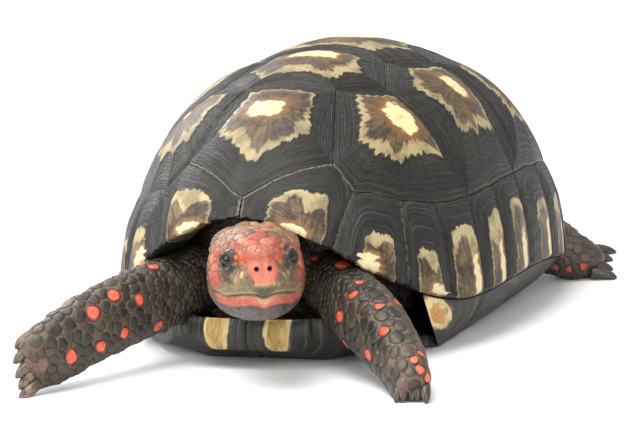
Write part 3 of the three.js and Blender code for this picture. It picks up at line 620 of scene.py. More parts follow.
# Each marginal's areola: its front and rear share of the scute's width, and its top share of the height.
MARGINAL_AREOLAE = [
    (0.24, 0.86, 0.40), (0.34, 0.78, 0.56), (0.20, 0.70, 0.58), (0.10, 0.92, 0.32), (0.28, 0.92, 0.28),
    (0.34, 0.93, 0.30), (0.28, 0.86, 0.44), (0.28, 0.86, 0.42), (0.26, 0.84, 0.42), (0.26, 0.82, 0.44),
    (0.26, 0.80, 0.44), (0.22, 0.78, 0.46),
]
MARGINAL_HEARTS = [  # middle and half size of the cream streak, as shares of width and height
    (0.53, 1.05, 0.17, 0.15), (0.44, 1.04, 0.15, 0.18), (0.66, 1.08, 0.22, 0.14), (0.73, 0.92, 0.11, 0.30),
    (0.70, 0.90, 0.11, 0.28),
]
MARGINAL_FRESH = (0.9, 0.6, 0.6, 0.12)  # how pale the seam ahead of each is, the last for all others
FACE_ROWS = 62
LIP_ROWS = 18


def bridge_at(degrees):
    """1 on the bridge, 0 at the free rim."""
    inside = (np.abs(degrees) - BRIDGE[0] + BRIDGE_FADE) / BRIDGE_FADE
    outside = (BRIDGE[1] + BRIDGE_FADE - np.abs(degrees)) / BRIDGE_FADE
    return smooth(np.minimum(inside, outside))


def floor_point(degrees):
    rim = dome(disc_at(degrees, 1.0))
    inward = (np.abs(rim[..., 0]) - FLOOR_HALF_WIDTH) / np.abs(rim[..., 0])
    return np.stack([rim[..., 0] * (1 - inward), rim[..., 1] * (1 - inward * 0.6), rim[..., 0] * 0], -1)


def bridge_point(degrees, reach):
    rim, foot = dome(disc_at(degrees, 1.0)), floor_point(degrees)
    point = foot + (rim - foot) * reach[..., None]
    point[..., 2] = rim[..., 2] * reach ** BRIDGE_CURVE
    return point


def rows_between(first, second):
    """Triangles that close the strip between two open rows of different lengths."""
    first, second = first.tolist(), second.tolist()
    faces, a, b = [], 0, 0
    while a < len(first) - 1 or b < len(second) - 1:
        next_a = (a + 1) / (len(first) - 1) if a < len(first) - 1 else 9
        next_b = (b + 1) / (len(second) - 1) if b < len(second) - 1 else 9
        if next_a <= next_b:
            faces.append([first[a], first[a + 1], second[b]])
            a += 1
        else:
            faces.append([first[a], second[b + 1], second[b]])
            b += 1
    return faces


def tube_of_rows(rows):
    """Faces of a closed skin over a grid (row, column) that wraps round from its last row to its first."""
    row_count, count = rows
    r, k = np.meshgrid(np.arange(row_count), np.arange(count - 1), indexing="ij")
    after = (r + 1) % row_count
    faces = np.stack([r * count + k, after * count + k, after * count + k + 1, r * count + k + 1], -1)
    return faces.reshape(-1, 4).tolist()


def horn_plate(name, outer, inner, turned, carried, material):
    """A closed plate from its outer rows, with what their points carry, and its hidden inner rows."""
    count = outer.shape[1]
    faces = tube_of_rows((len(outer) + len(inner), count))
    outer_edge = np.arange(len(outer)) * count
    inner_edge = (np.arange(len(inner)) + len(outer))[::-1] * count
    faces += rows_between(outer_edge, inner_edge)
    faces += [face[::-1] for face in rows_between(outer_edge + count - 1, inner_edge + count - 1)]
    if turned:
        faces = [face[::-1] for face in faces]
    hidden = {"stage": SEAM_STAGE, "heart": NO_HEART}
    for key, values in carried.items():
        rest = np.full((len(inner) * count, *values.shape[2:]), hidden.get(key, 0.0))
        carried[key] = np.concatenate([values.reshape(-1, *values.shape[2:]), rest])
    mesh_piece(name, np.concatenate([outer, inner]).reshape(-1, 3), faces, carried, material, [name])


def side_seam_wave(seam_index, v):
    """How far the seam between two marginals wanders along the rim, in disc units; none at the midline."""
    if seam_index in (0, 12):
        return v * 0
    return waves(v * 0.8, 300 + seam_index, 5, 7) * 0.0035 * smooth(np.minimum(v, 1.4 - v) * 6)


def resample(line, share):
    """Points at shares of a line's length."""
    lengths = np.concatenate([[0], np.cumsum(np.linalg.norm(np.diff(line, axis=0), axis=1))])
    return np.stack([np.interp(share * lengths[-1], lengths, line[:, axis]) for axis in range(2)], -1)


def marginal(name, tops, from_degrees, to_degrees, index, side):
    """One scute of the rim: rows down its face, its lip or bridge, then four hidden rows inside."""
    names = tops.split()
    runs = [seam(a, b, side)[0] for a, b in zip(names, names[1:])] + [[corner(names[-1], side)]]
    line = np.concatenate(runs)
    width = np.linalg.norm(dome(disc_at(from_degrees, 1.0)) - dome(disc_at(to_degrees, 1.0)))
    count = int(width / 0.62)
    gap = SEAM_GAP / width
    u = gap + (1 - 2 * gap) * np.linspace(0, 1, count)
    edge_share = np.linspace(0, 1, count)
    top_line = resample(line, u)
    degrees = from_degrees + (to_degrees - from_degrees) * u
    rim_line = disc_at(degrees * side, 1.0)
    v = 1 - (1 - np.linspace(0.006, 1, FACE_ROWS)) ** 1.05
    tangent = unit(rim_line[-1] - rim_line[0])
    closing = 12 if name == "supracaudal" else index + 1
    wave = side_seam_wave(index, v)[:, None] * (1 - u) + side_seam_wave(closing, v)[:, None] * u
    disc = top_line + (rim_line - top_line) * v[:, None, None] + tangent * wave[..., None]
    disc = disc * np.minimum(1, 1 / np.linalg.norm(disc, axis=-1, keepdims=True))
    face, normals = dome(disc), dome_normal(disc)

    # The lip: round the rim's edge and in under it, or down the bridge to its seam.
    w = np.linspace(0, 1, LIP_ROWS + 1)[1:, None]
    edge = face[-1]
    inward = unit(edge * [-1, -1, 0])
    jagged = 0.5 * waves(degrees / 11, 41 + side, 5, 5) * (1 - bridge_at(degrees))
    thick = 0.35 + 0.65 * smooth((np.abs(degrees) - 12) / 35)
    drop = np.array([0, 0, -RIM_LIP["thickness"]]) * thick[:, None]
    turn_under = edge - inward * 0.5 + drop * 0.42
    tuck = edge + inward * 2.2 + drop * 0.8
    under = edge + inward * RIM_LIP["depth"] + drop
    curl = np.clip(w / 0.4, 0, 1)[..., None]
    free = edge * (1 - curl) ** 2 + turn_under * 2 * curl * (1 - curl) + tuck * curl ** 2
    free = free + (under - tuck) * np.clip((w - 0.4) / 0.6, 0, 1)[..., None]
    reach = 1 - (1 - BRIDGE_SEAM - 0.01) * w * np.ones(count)
    held = bridge_point(np.broadcast_to(degrees * side, reach.shape), reach)
    bridge = bridge_at(degrees)[:, None]
    lip = free * (1 - bridge) + held * bridge
    lip_normals = np.broadcast_to(unit(-inward * 0.6 + [0, 0, -0.5]), lip.shape)

    outside = np.concatenate([face, lip])
    directions = np.concatenate([normals, lip_normals])
    row_v = np.concatenate([v, 1 + w[:, 0] * 0.3])[:, None]
    front, rear, top_share = MARGINAL_AREOLAE[index]
    middle = 0.5 * (front + rear) + 0.06
    sideways = np.where(u < middle, (middle - u) / (middle - front), (u - middle) / (rear - middle))
    beyond = np.where(u < front, 1 + (front - u) / front, 1 + (u - rear) / (1 - rear))
    sideways = np.where((u < front) | (u > rear), beyond, sideways)
    upward = np.where(row_v > top_share, np.maximum(1 - row_v, 0) / (1 - top_share),
                      1 + (top_share - row_v) / top_share)
    stage = (sideways ** 5 + upward ** 5 + 1e-9) ** 0.2
    seed = 50 + index
    across_wave = waves(edge_share * 2 + row_v, seed)
    border = np.minimum(np.minimum(edge_share, 1 - edge_share) * width, row_v * 34)
    hump = 1.25 * (1 - np.abs(2 * edge_share - 1) ** 2.4) * smooth(row_v * 2.2) - 0.55
    seam_drop = -0.55 * smooth(1 - border / 1.0) ** 2 - 0.3 * smooth(1 - border / 4.0)
    fading = smooth((1.22 - row_v) / 0.2)
    lift = (hump + seam_drop) * fading + year_relief(stage + 0.015 * across_wave, seed) * 0.9
    lift += 0.15 * (1 - smooth((stage - 0.9) / 0.2)) * fading
    outside = outside + directions * lift[..., None]
    outside[..., 2] += jagged * smooth((row_v - 0.75) / 0.25) * fading

    # The hidden inner face, in four coarse rows from the lip back to the top.
    keel_inner = held[-1] + unit(inward + [0, 0, 0.4]) * 3.5
    free_inner = under + inward * 0.6 + [0, 0, 3.0]
    last = free_inner * (1 - bridge) + keel_inner * bridge
    first = dome(top_line) - dome_normal(top_line) * PLATE_DEPTH
    rim_inner = edge + inward * 5 + [0, 0, 1.0]
    shoulder = dome(top_line + (rim_line - top_line) * 0.55) - dome_normal(top_line) * PLATE_DEPTH
    inside = np.stack([last, rim_inner, shoulder, first])

    angle = np.arctan2(np.minimum(row_v, 1.3) - 1.0, (u - middle) * width / 38)
    turn = np.stack([np.cos(angle) * 0.6, np.sin(angle) * 0.6, np.full_like(angle, seed % 17 + side)], -1)
    freshness = MARGINAL_FRESH[min(index, 3)]
    fresh = smooth(1 - (edge_share * width) / 0.7) * freshness
    fresh = np.clip(fresh * (0.5 + 0.5 * waves(row_v * 2, seed + 5)), 0, 1) * (row_v < 1.02)
    glow_u, glow_v, half_u, half_v = MARGINAL_HEARTS[min(index, 4)]
    heart = 1 - (np.abs((u - glow_u) / half_u) ** 2.4 + np.abs((row_v - glow_v) / half_v) ** 2.4) ** (1 / 2.4)
    heart = heart + 0.25 * waves(row_v * 1.5 + u * 0.3, seed + 9)
    band = 0.03 + 0.85 * smooth((upward - sideways * 0.85 + 0.15) / 0.4)
    carried = {"stage": stage, "turn": turn, "fresh": fresh, "heart": heart, "band": band}
    horn_plate(name, outside, inside, side == -1, carried, edge_horn)


edge_horn = horn_material(
    "shell_edge_horn", dark=(0.0078, 0.0074, 0.0062), mid=(0.16, 0.105, 0.050), dull=(0.052, 0.037, 0.026),
    pale=(0.36, 0.285, 0.15), heart_colour=(0.58, 0.49, 0.28), ragged=0.66, roughness=0.30)
for side_name, side in (("left", 1), ("right", -1)):
    for k, tops in enumerate(MARGINAL_TOPS):
        start = MARGINAL_SEAMS[k - 1][0] if k else 0
        marginal(f"marginal_{side_name}_{k + 1}", tops, start, MARGINAL_SEAMS[k][0], k, side)
last_seam = MARGINAL_SEAMS[-1][0]
marginal("supracaudal", "t11 t11-", last_seam, 360 - last_seam, 11, 1)

# ---- Carapace: the bone under the scutes ----
# Thin seams show a little of what the scutes grow from: a dull brown bed over the bony dome. It is one
# closed shell that fits close under the scutes and stops short of the rim.

BED_DEPTH = 1.9
bed_angles = np.arange(144) * 2.5
bed_radii = np.array([0.04, 0.12, 0.22, 0.32, 0.42, 0.52, 0.62, 0.70, 0.77, 0.83, 0.89, 0.94])
bed_disc = disc_at(bed_angles[None, :] * np.ones((len(bed_radii), 1)), bed_radii[:, None])
bed_skin = dome(bed_disc) - dome_normal(bed_disc) * BED_DEPTH
bed_inner = (dome(bed_disc) - dome_normal(bed_disc) * (PLATE_DEPTH + 0.8))[::-1]
bed_grid = np.concatenate([bed_skin, bed_inner])
points = np.concatenate([bed_grid.reshape(-1, 3), bed_grid[[0, -1]].mean(axis=1)])
bed_bone, tree, shader = new_material("seam_bed", {"Roughness": 0.7})
spot = own_place(tree)
colour = blend(tree, noise(tree, spot, 60, 3.0), (0.012, 0.010, 0.008), (0.05, 0.042, 0.032))
lay_surface(tree, shader, colour, relief=noise(tree, spot, 700, 2.0), depth=0.0003)
mesh_piece("shell_bone_bed", points, ring_faces(*bed_grid.shape[:2]), {}, bed_bone)

# ---- Plastron: the belly's six pairs of scutes ----
# A flat floor of horn that the animal rests on. Its two lobes lift a little off the ground at their
# ends, and along the flanks it turns up into the bridges.

PLASTRON_THICKNESS = 5
LOBE_LIFT = {"front": -97, "rear": 84, "run": 20, "height": 7, "lip": 3.5}
LIP_COLUMNS = 9
BELLY_BAND = 0.55  # width of the pale edge of a belly patch
# Columns from front to back: y on the midline, point on the outline or degrees along the bridge, lift.
PLASTRON_COLUMNS = [
    (-117, (25, -115), 5), (-103, (34, -109), 5), (-88, (41, -101), 4.5), (-74, (52, -86), 3), (-60, 58, 0),
    (-53, 64, 0), (-46, 70, 0), (-27, 80, 0), (-8, 90, 0), (11, 101, 0), (30, 111, 0), (49, (47, 67), 4),
    (68, (38, 84), 4.5), (80, (31, 96), 4.5), (92, (22, 104), 4),
]
BRIDGE_TOPS = {4: 46, 5: 58}  # columns whose top lies ahead of their foot, in degrees
# First and last column, then the pale patch: share out, share back, half its width, half its length.
PLASTRON_SCUTES = {
    "gular": (0, 2, 0.50, -0.24, 0.20, 0.23), "humeral": (2, 4, 0.62, 0.62, 0.20, 0.22),
    "pectoral": (4, 6, 0.93, 0.18, 0.065, 0.22), "abdominal": (6, 10, 0.67, 0.085, 0.05, 0.075),
    "femoral": (10, 12, 0.7, 0.5, 0.22, 0.28), "anal": (12, 14, 0.5, 0.72, 0.3, 0.24),
}
belly_horn = horn_material(
    "belly_horn", dark=(0.013, 0.0125, 0.0105), mid=(0.34, 0.20, 0.05), dull=(0.40, 0.28, 0.10),
    pale=(0.55, 0.44, 0.22), heart_colour=(0.42, 0.20, 0.075), ragged=0.04, roughness=0.34)
middle_line, edges, edge_lifts = zip(*PLASTRON_COLUMNS)
middle_line, edge_lifts = np.array(middle_line, float), np.array(edge_lifts, float)
bridge_degrees = np.array([np.nan if isinstance(edge, tuple) else edge for edge in edges])
outline = [edge if isinstance(edge, tuple) else floor_point(np.array(float(edge)))[:2] for edge in edges]
outline = np.array(outline)
bridge_tops = np.array([BRIDGE_TOPS.get(k, degrees) for k, degrees in enumerate(bridge_degrees)])


def along_columns(values, place):
    """A smooth curve through the columns' values, kept between its neighbours."""
    knot = np.clip(place.astype(int), 0, len(values) - 2)
    t = place - knot
    before, here, after = values[np.maximum(knot - 1, 0)], values[knot], values[knot + 1]
    beyond = values[np.minimum(knot + 2, len(values) - 1)]
    return through(before, here, after, beyond, t.reshape(t.shape + (1,) * (values.ndim - 1)))


def lobe_height(y, share, edge_lift):
    front = smooth((LOBE_LIFT["front"] - y) / LOBE_LIFT["run"])
    rear = smooth((y - LOBE_LIFT["rear"]) / LOBE_LIFT["run"])
    return LOBE_LIFT["height"] * (front + rear * 0.6) + edge_lift * smooth((share - 0.6) / 0.4)


def lobe_thickness(y):
    return PLASTRON_THICKNESS + LOBE_LIFT["lip"] * smooth((LOBE_LIFT["front"] - y) / LOBE_LIFT["run"])


def belly_scute(name, first, last, out, rear, half_out, half_back, side):
    """One scute of the belly: rows from the midline out to its rounded edge or up its bridge."""
    length = abs(middle_line[last] - middle_line[first])
    count = max(24, int(length / 0.9))
    place = np.linspace(first, last, count)
    share_back = np.linspace(0, 1, count)
    mid_y = along_columns(middle_line, place)
    if not np.isnan(bridge_degrees[first:last + 1]).any():
        knots = np.arange(first, last + 1)
        degrees = np.interp(place, knots, bridge_degrees[knots])
        lean = np.interp(place, knots, bridge_tops[knots]) - degrees
        foot = floor_point(degrees)
        inner = np.stack([np.full(count, SEAM_GAP), mid_y, np.zeros(count)], -1)
        flat_rows = inner + (foot - inner) * np.linspace(0, 1, 46)[:, None, None]
        reach = np.linspace(0, BRIDGE_SEAM - 0.012, 27)[1:, None] * np.ones(count)
        wall = bridge_point(degrees + lean * reach, reach)
        under = np.concatenate([flat_rows, wall])
        level_out = np.linspace(0, 1, len(under))[:, None] * np.ones(count)
        directions = np.zeros_like(under)
        directions[..., 2] = -1
        outward = unit((wall[-1] - foot) * [1, 1, 0])
        tilt = np.linspace(0, 1, len(wall))[:, None, None]
        directions[len(flat_rows):] = unit(outward * (0.15 + tilt) + np.array([0, 0, -1]) * (1.1 - tilt))
        middle_wall = len(flat_rows) + len(wall) // 2
        over = np.stack([wall[-1] - directions[-1] * PLASTRON_THICKNESS,
                         under[middle_wall] - directions[middle_wall] * PLASTRON_THICKNESS,
                         foot + [0, 0, PLASTRON_THICKNESS], inner + [0, 0, PLASTRON_THICKNESS]])
    else:
        edge = along_columns(outline, place)
        lift = along_columns(edge_lifts, place)
        share = np.concatenate([np.linspace(0, 0.9, 40), np.linspace(0.9, 1, 9)[1:]])[:, None]
        x = SEAM_GAP + (edge[:, 0] - SEAM_GAP) * share
        y = mid_y + (edge[:, 1] - mid_y) * share
        flat_rows = np.stack([x, y, lobe_height(y, share, lift)], -1)
        rounding = np.linspace(0, math.pi, 10)[1:, None]
        outward = unit(np.stack([edge[:, 0], edge[:, 1] * 0.9, np.zeros(count)], -1))
        half = lobe_thickness(edge[:, 1])[None, :, None] / 2
        round_edge = (flat_rows[-1] + outward * (np.sin(rounding) * 1.4)[..., None]
                      + np.array([0, 0, 1]) * half * (1 - np.cos(rounding))[..., None])
        under = np.concatenate([flat_rows, round_edge])
        level_out = np.concatenate([share * np.ones(count), np.full((len(round_edge), count), 1.0)])
        directions = np.zeros_like(under)
        directions[:len(flat_rows), :, 2] = -1
        directions[len(flat_rows):] = outward * np.sin(rounding)[..., None]
        inner = flat_rows[0].copy()
        inner[:, 2] += lobe_thickness(mid_y)
        over = np.stack([round_edge[-1] * 0.5 + inner * 0.5 + [0, 0, 0.3], inner])

    # The front of the gulars and the end of the anals are rounded over to the upper face.
    for end, rounded in ((0, first == 0), (-1, last == len(PLASTRON_COLUMNS) - 1)):
        if not rounded:
            continue
        heading = np.array([0, 1 if end else -1, 0])
        turn = np.linspace(0, math.radians(160), LIP_COLUMNS + 1)[1:]
        room = under[len(flat_rows) - 1:, end, 2].max() - under[:, end, 2:3]
        swell = under[:, end, None] + heading * (room * np.sin(turn) * 0.45)[..., None]
        swell = swell + np.array([0, 0, 0.5]) * (room * (1 - np.cos(turn)))[..., None]
        facing = heading * np.sin(turn)[:, None] - np.array([0, 0, 1]) * np.cos(turn)[:, None]
        facing = facing * np.ones_like(swell)
        ledge = over[:, end, None] * np.ones((1, LIP_COLUMNS, 1))
        beyond = turn / turn[-1] * 9 / length
        level = level_out[:, end, None] * np.ones(LIP_COLUMNS)
        join = lambda new, old: np.concatenate([old, new] if end else [new[:, ::-1], old], axis=1)
        under, directions = join(swell, under), join(facing, directions)
        over, level_out = join(ledge, over), join(level, level_out)
        share_back = join(1 + beyond[None] if end else -beyond[None], share_back[None])[0]
    seed = 400 + first
    sideways = np.abs(level_out - out) / half_out
    backward = np.abs(share_back - rear) / half_back
    ratio = np.sqrt(sideways ** 2 + backward ** 2 + 1e-9)
    ratio = ratio + 0.10 * waves(level_out * 3 + share_back * 2, seed) * (ratio < 1.6)
    stage = np.where(ratio < 1, ratio, 1 + (ratio - 1) / (ratio.max() - 1))
    from_front = np.abs(share_back) if first else share_back + 1
    from_rear = np.abs(1 - share_back) if last < len(PLASTRON_COLUMNS) - 1 else 2 - share_back
    seam_distance = np.minimum(np.minimum(from_front, from_rear) * length, level_out * 55 + 0.2)
    groove = 0.45 * smooth(1 - seam_distance / 1.1) + 0.12 * smooth(1 - seam_distance / 3.5)
    under = under + directions * (year_relief(stage, seed) * 0.7 - groove)[..., None]
    under[..., 2] = np.maximum(under[..., 2], 0)
    squeeze = SEAM_GAP * ((from_front == 0).astype(float) - (from_rear == 0))
    under[..., 1] += squeeze
    over[..., 1] += squeeze
    angle = np.arctan2(share_back - rear, (level_out - out) * 2)
    turn = np.stack([np.cos(angle) * 0.7, np.sin(angle) * 0.7, np.full_like(angle, seed % 13 + side)], -1)
    heart = 0.8 - stage * 2 if name.startswith("plastron_pectoral") else np.full_like(stage, NO_HEART)
    band = np.full_like(stage, BELLY_BAND)
    carried = {"stage": stage, "turn": turn, "fresh": 0 * stage, "heart": heart, "band": band}
    horn_plate(name, under * [side, 1, 1], over * [side, 1, 1], side == 1, carried, belly_horn)


for side_name, side in (("left", 1), ("right", -1)):
    for name, plan in PLASTRON_SCUTES.items():
        belly_scute(f"plastron_{name}_{side_name}", *plan, side)

# ---- Flesh: one skin over the trunk, neck, head, legs and tail ----
# All the soft parts are one closed skin. It is lofted limb by limb round their middle lines, fused with
# the trunk, smoothed at the joins, and lies under the horny scales by their thickness.

SKIN_VOXEL = 0.0012
COAT_DEPTH = 0.55  # mm between the skin and the outline of the scaled limb
LIMB_RINGS, CAP_RINGS, LIMB_SIDES = 56, 7, 40
HEAD_RINGS, HEAD_SIDES = 70, 72
# Stations along the middle of each limb: x, y, z, half height, half width.
LIMBS = {
    "neck": [
        (0, -84, 36, 17, 19), (1, -100, 38, 16, 18), (4, -114, 40.5, 15, 16.5), (8, -126, 42, 14, 14.5),
        (11, -134, 43, 12, 12),
    ],
    "front_leg_right": [
        (-18, -80, 35, 13, 13), (-29, -101, 31, 14, 12), (-42, -122, 26.5, 14.2, 10.5),
        (-52, -142, 22, 14.4, 9.4), (-59, -155, 17.8, 13.8, 8.6), (-64.5, -164.5, 14, 12.8, 8),
        (-68.5, -171.5, 11.4, 10.8, 6.4),
    ],
    "front_leg_left": [
        (18, -80, 32, 12, 13), (33, -102, 28, 13.4, 12.4), (47.5, -119, 23.4, 14, 11.4),
        (60, -133, 18, 13.4, 10.4), (70.5, -146, 12, 11.6, 9.2), (76, -154, 7.2, 10.4, 8.2),
        (79, -158.5, 3.8, 8.4, 6.8),
    ],
    "hind_leg_left": [
        (34, 58, 33, 14, 14), (54, 66, 25, 13.5, 14), (69, 72, 16, 12.5, 13), (79, 77, 9.6, 10.8, 12.2),
        (85, 82.5, 6.8, 7.8, 10.6),
    ],
    "hind_leg_right": [
        (-32, 64, 33, 14, 14), (-50, 71, 25, 13.5, 14), (-64, 73, 16.5, 12.5, 13),
        (-74, 69, 10, 10.8, 12), (-79, 62.5, 7, 8, 10.6),
    ],
    "tail": [
        (0, 92, 27, 9, 11), (3, 106, 21, 7.4, 8.4), (9, 115, 14.5, 5.4, 5.8), (16.5, 120, 9.6, 3.4, 3.4),
        (22, 122, 7, 1.6, 1.6),
    ],
}
SQUARENESS = {"neck": 2.2, "tail": 2.0}
limb_names = list(LIMBS)
BLOCK = 20000  # how many points are measured at a time
HEAD_STATIONS = np.array([  # y from snout to nape, half width, top, bottom
    (-17.2, 4.2, 1.5, -13), (-16.2, 6.6, 3.2, -16), (-13, 9, 5.2, -19.5), (-8, 10.6, 7.8, -22.3),
    (0, 13.6, 10.8, -23.6), (8, 17.4, 12.4, -23.8), (15, 19, 12.4, -23), (21, 18, 10.6, -20.5),
    (26, 15.4, 7.6, -17.5), (30, 12, 3.5, -14),
])
HEAD_WIDEST = -7
head_place = (Matrix.Translation((17.3, -150, 50)) @ Matrix.Rotation(math.radians(25.5), 4, "Z")
              @ Matrix.Rotation(math.radians(-8), 4, "X"))
head_turn = np.array(head_place.to_3x3())
head_at = np.array(head_place.translation)


def from_head(points):
    return points @ head_turn.T + head_at


def to_head(points):
    return (points - head_at) @ head_turn


def from_row(points):
    return np.asarray(points, float) * 1000 - SHELL_SHIFT


def closed_loft(rings):
    """Points and faces of a closed skin over rings of points (ring, side, 3), wound the other way."""
    points = np.concatenate([rings.reshape(-1, 3), rings[[0, -1]].mean(axis=1)])
    return points, [[start, *others[::-1]] for start, *others in ring_faces(*rings.shape[:2])]


def head_box(points, back, half_width=22, low=-27, high=17):
    """Which points lie in a box round the head, as far back as its own y = back."""
    x, y, z = to_head(points).T
    return (y < back) & (np.abs(x) < half_width) & (z > low) & (z < high)


def limb_frames(name, t):
    """Middle line, its direction, up and across, and half sizes at shares t of a limb's stations."""
    stations = np.array(LIMBS[name], float)
    place = t * (len(stations) - 1)
    values = along_columns(stations, place)
    nudged = along_columns(stations, np.minimum(place + 0.01, len(stations) - 1))
    earlier = along_columns(stations, np.maximum(place - 0.01, 0))
    along = unit(nudged[:, :3] - earlier[:, :3])
    up = unit(np.array([0, 0, 1.0]) - along * along[:, 2:3])
    return values[:, :3], along, up, np.cross(along, up), values[:, 3], values[:, 4]


def limb_loft(name, inset):
    """A limb without its claws: rings along its middle line, and a rounded cap over its end."""
    t = np.concatenate([np.linspace(0, 1, LIMB_RINGS), np.ones(CAP_RINGS)])
    centre, along, up, across, high, wide = limb_frames(name, t)
    cap = np.linspace(0, math.pi / 2, CAP_RINGS + 2)[1:-1]
    cap = np.concatenate([np.zeros(LIMB_RINGS), cap])[:, None, None]
    turn = (np.arange(LIMB_SIDES) + 0.5) / LIMB_SIDES * 2 * math.pi
    power = 2 / SQUARENESS.get(name, 2.4)
    rise, side = signed_power(np.sin(turn), power), signed_power(np.cos(turn), power)
    high, wide = (np.maximum(size - inset, 0.6)[:, None, None] for size in (high, wide))
    reach = centre[:, None] + along[:, None] * wide * 0.5 * np.sin(cap)
    section = up[:, None] * high * rise[:, None] + across[:, None] * wide * side[:, None]
    rings = reach + section * np.cos(cap)
    return closed_loft(rings)


def head_loft(inset):
    """The head's plain outline in its own frame, with a narrower ring in front for the nose."""
    place = np.linspace(0, len(HEAD_STATIONS) - 1, HEAD_RINGS)
    y, wide, high, low = (values[:, None] for values in along_columns(HEAD_STATIONS, place).T)
    turn = (np.arange(HEAD_SIDES) + 0.5) / HEAD_SIDES * 2 * math.pi
    rise = signed_power(np.sin(turn), 0.8)
    side = signed_power(np.cos(turn), 0.8)
    span = np.where(rise > 0, high - inset - HEAD_WIDEST, HEAD_WIDEST - low - inset)
    rings = np.stack([(wide - inset) * side, y + 0 * turn, HEAD_WIDEST + span * rise], -1)
    nose = rings[:1] * [0.55, 1, 1] + [0, -0.7, 0]
    nose[..., 2] = HEAD_WIDEST + (nose[..., 2] - HEAD_WIDEST) * 0.6
    return closed_loft(np.concatenate([nose, rings]))


def flesh_part(name, points, faces):
    """One limb's or the head's closed mesh, its faces turned outwards."""
    part = plain_mesh(name, points, faces)
    bm = bmesh.new()
    bm.from_mesh(part.data)
    bmesh.ops.recalc_face_normals(bm, faces=bm.faces)
    bm.to_mesh(part.data)
    bm.free()
    return part


def mesh_points(mesh, read="co"):
    """A mesh's points, or with read "normal" the way that each of them faces."""
    values = np.empty(len(mesh.vertices) * 3, np.float32)
    mesh.vertices.foreach_get(read, values)
    return values.reshape(-1, 3).astype(float)


def set_mesh_points(mesh, points):
    mesh.vertices.foreach_set("co", points.astype(np.float32).ravel())
    mesh.update()


def select_only(piece):
    bpy.ops.object.select_all(action="DESELECT")
    piece.select_set(True)
    bpy.context.view_layer.objects.active = piece


def join_pieces(pieces):
    """Joins pieces to the first of them, and returns it."""
    select_only(pieces[0])
    for piece in pieces[1:]:
        piece.select_set(True)
    bpy.ops.object.join()
    return pieces[0]


def work_on(piece, chosen, operator, **settings):
    """Runs an edit mode operator on the chosen vertices of a piece and the faces between them."""
    select_only(piece)
    bpy.ops.object.mode_set(mode="EDIT")
    bpy.ops.mesh.select_mode(type="VERT")
    bpy.ops.mesh.select_all(action="DESELECT")
    bpy.ops.object.mode_set(mode="OBJECT")
    piece.data.vertices.foreach_set("select", chosen)
    bpy.ops.object.mode_set(mode="EDIT")
    operator(**settings)
    bpy.ops.object.mode_set(mode="OBJECT")


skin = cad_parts["trunk"].copy()
skin.data = skin.data.copy()
for key in list(skin.keys()):
    del skin[key]
skin.parent = None
skin.name = "skin"
skin.data.name = "skin"
skin.data.materials.clear()
bpy.context.scene.collection.objects.link(skin)
work_on(skin, [True] * len(skin.data.vertices), bpy.ops.mesh.remove_doubles, threshold=0.00001)
flesh = [flesh_part(name, *limb_loft(name, COAT_DEPTH)) for name in LIMBS]
head_points, head_faces = head_loft(COAT_DEPTH)
flesh.append(flesh_part("head_copy", from_head(head_points), head_faces))
join_pieces([skin, *flesh])
remesh = skin.modifiers.new("fuse", "REMESH")
remesh.mode = "VOXEL"
remesh.voxel_size = SKIN_VOXEL
bpy.ops.object.modifier_apply(modifier="fuse")

# What lies inside the shell is never seen, and is thinned out.
points = from_row(mesh_points(skin.data))
hidden = (np.abs(points[:, 1]) < 58) | (points[:, 2] > 74)
work_on(skin, hidden, bpy.ops.mesh.decimate, ratio=0.03)


def nearest_limb(points):
    """For each point: the limb nearest by size, its share along it, its angle round it, how near it is."""
    best = np.full(len(points), 1e9)
    which, share, angle = (np.zeros(len(points)) for _ in range(3))
    t = np.linspace(0, 1, 70)
    for index, name in enumerate(limb_names):
        centre, along, up, across, high, wide = limb_frames(name, t)
        size = 0.5 * (high + wide)
        for start in range(0, len(points), BLOCK):
            block = points[start:start + BLOCK]
            gap = np.linalg.norm(block[:, None] - centre, axis=-1) / size
            nearest = gap.argmin(axis=1)
            rows = np.arange(len(block))
            closer = gap[rows, nearest] < best[start:start + BLOCK]
            picked = start + rows[closer]
            chosen = nearest[closer]
            offset = block[closer] - centre[chosen]
            best[picked] = gap[rows, nearest][closer]
            which[picked] = index
            share[picked] = t[chosen]
            angle[picked] = np.arctan2((offset * up[chosen]).sum(-1), (offset * across[chosen]).sum(-1))
    return which.astype(int), share, angle, best


# The folds where limbs and neck meet the body are softened. Then the head's mesh is made finer, and the
# face's finer still.
points = from_row(mesh_points(skin.data))
_, share, _, gap = nearest_limb(points)
folds = ((share < 0.3) | (gap > 1.15)) & ~head_box(points, 20, 21, high=16)
work_on(skin, folds, bpy.ops.mesh.vertices_smooth, factor=0.5, repeat=26)
for back in (26, 7):
    finer = head_box(from_row(mesh_points(skin.data)), back)
    work_on(skin, finer, bpy.ops.mesh.subdivide, number_cuts=1)

# ---- Head: brow, lids, nostrils, beak and mouth ----
# The skull's outline is kept, and the face is worked into the skin: a brow ridge over each eye, lids
# that lie on the eyeball, two nostrils, the beak's edge with its small hook, and the mouth line.

EYE_PLACE = np.array([9.2, -0.8, 0.0])
EYE_RADIUS = 4.9
EYE_TURN = math.radians(52)  # how far from straight ahead an eye looks
LID_OPENING = (0.60, 0.50)  # half angles of the open eye, along and up
LID_THICKNESS = 0.75
LID_OUT = 4.6  # mm from the eyeball's middle to that of its opening
NOSTRIL = np.array([2.45, -17.0, -3.1])
NOSTRIL_RADIUS = 0.85


def mouth_height(y, x):
    """Height of the mouth line in the head's frame: a hook in the middle, level, rising at the corner."""
    hook = 1.3 * np.exp(-(x / 2.6) ** 2) * (y < -8)
    return -12.6 - hook - 0.6 * smooth((y + 14) / 12) + 1.6 * smooth((y + 2) / 10)


def near(value, middle, width):
    """1 at the middle, falling off like a bell either side of it."""
    return np.exp(-((value - middle) / width) ** 2)


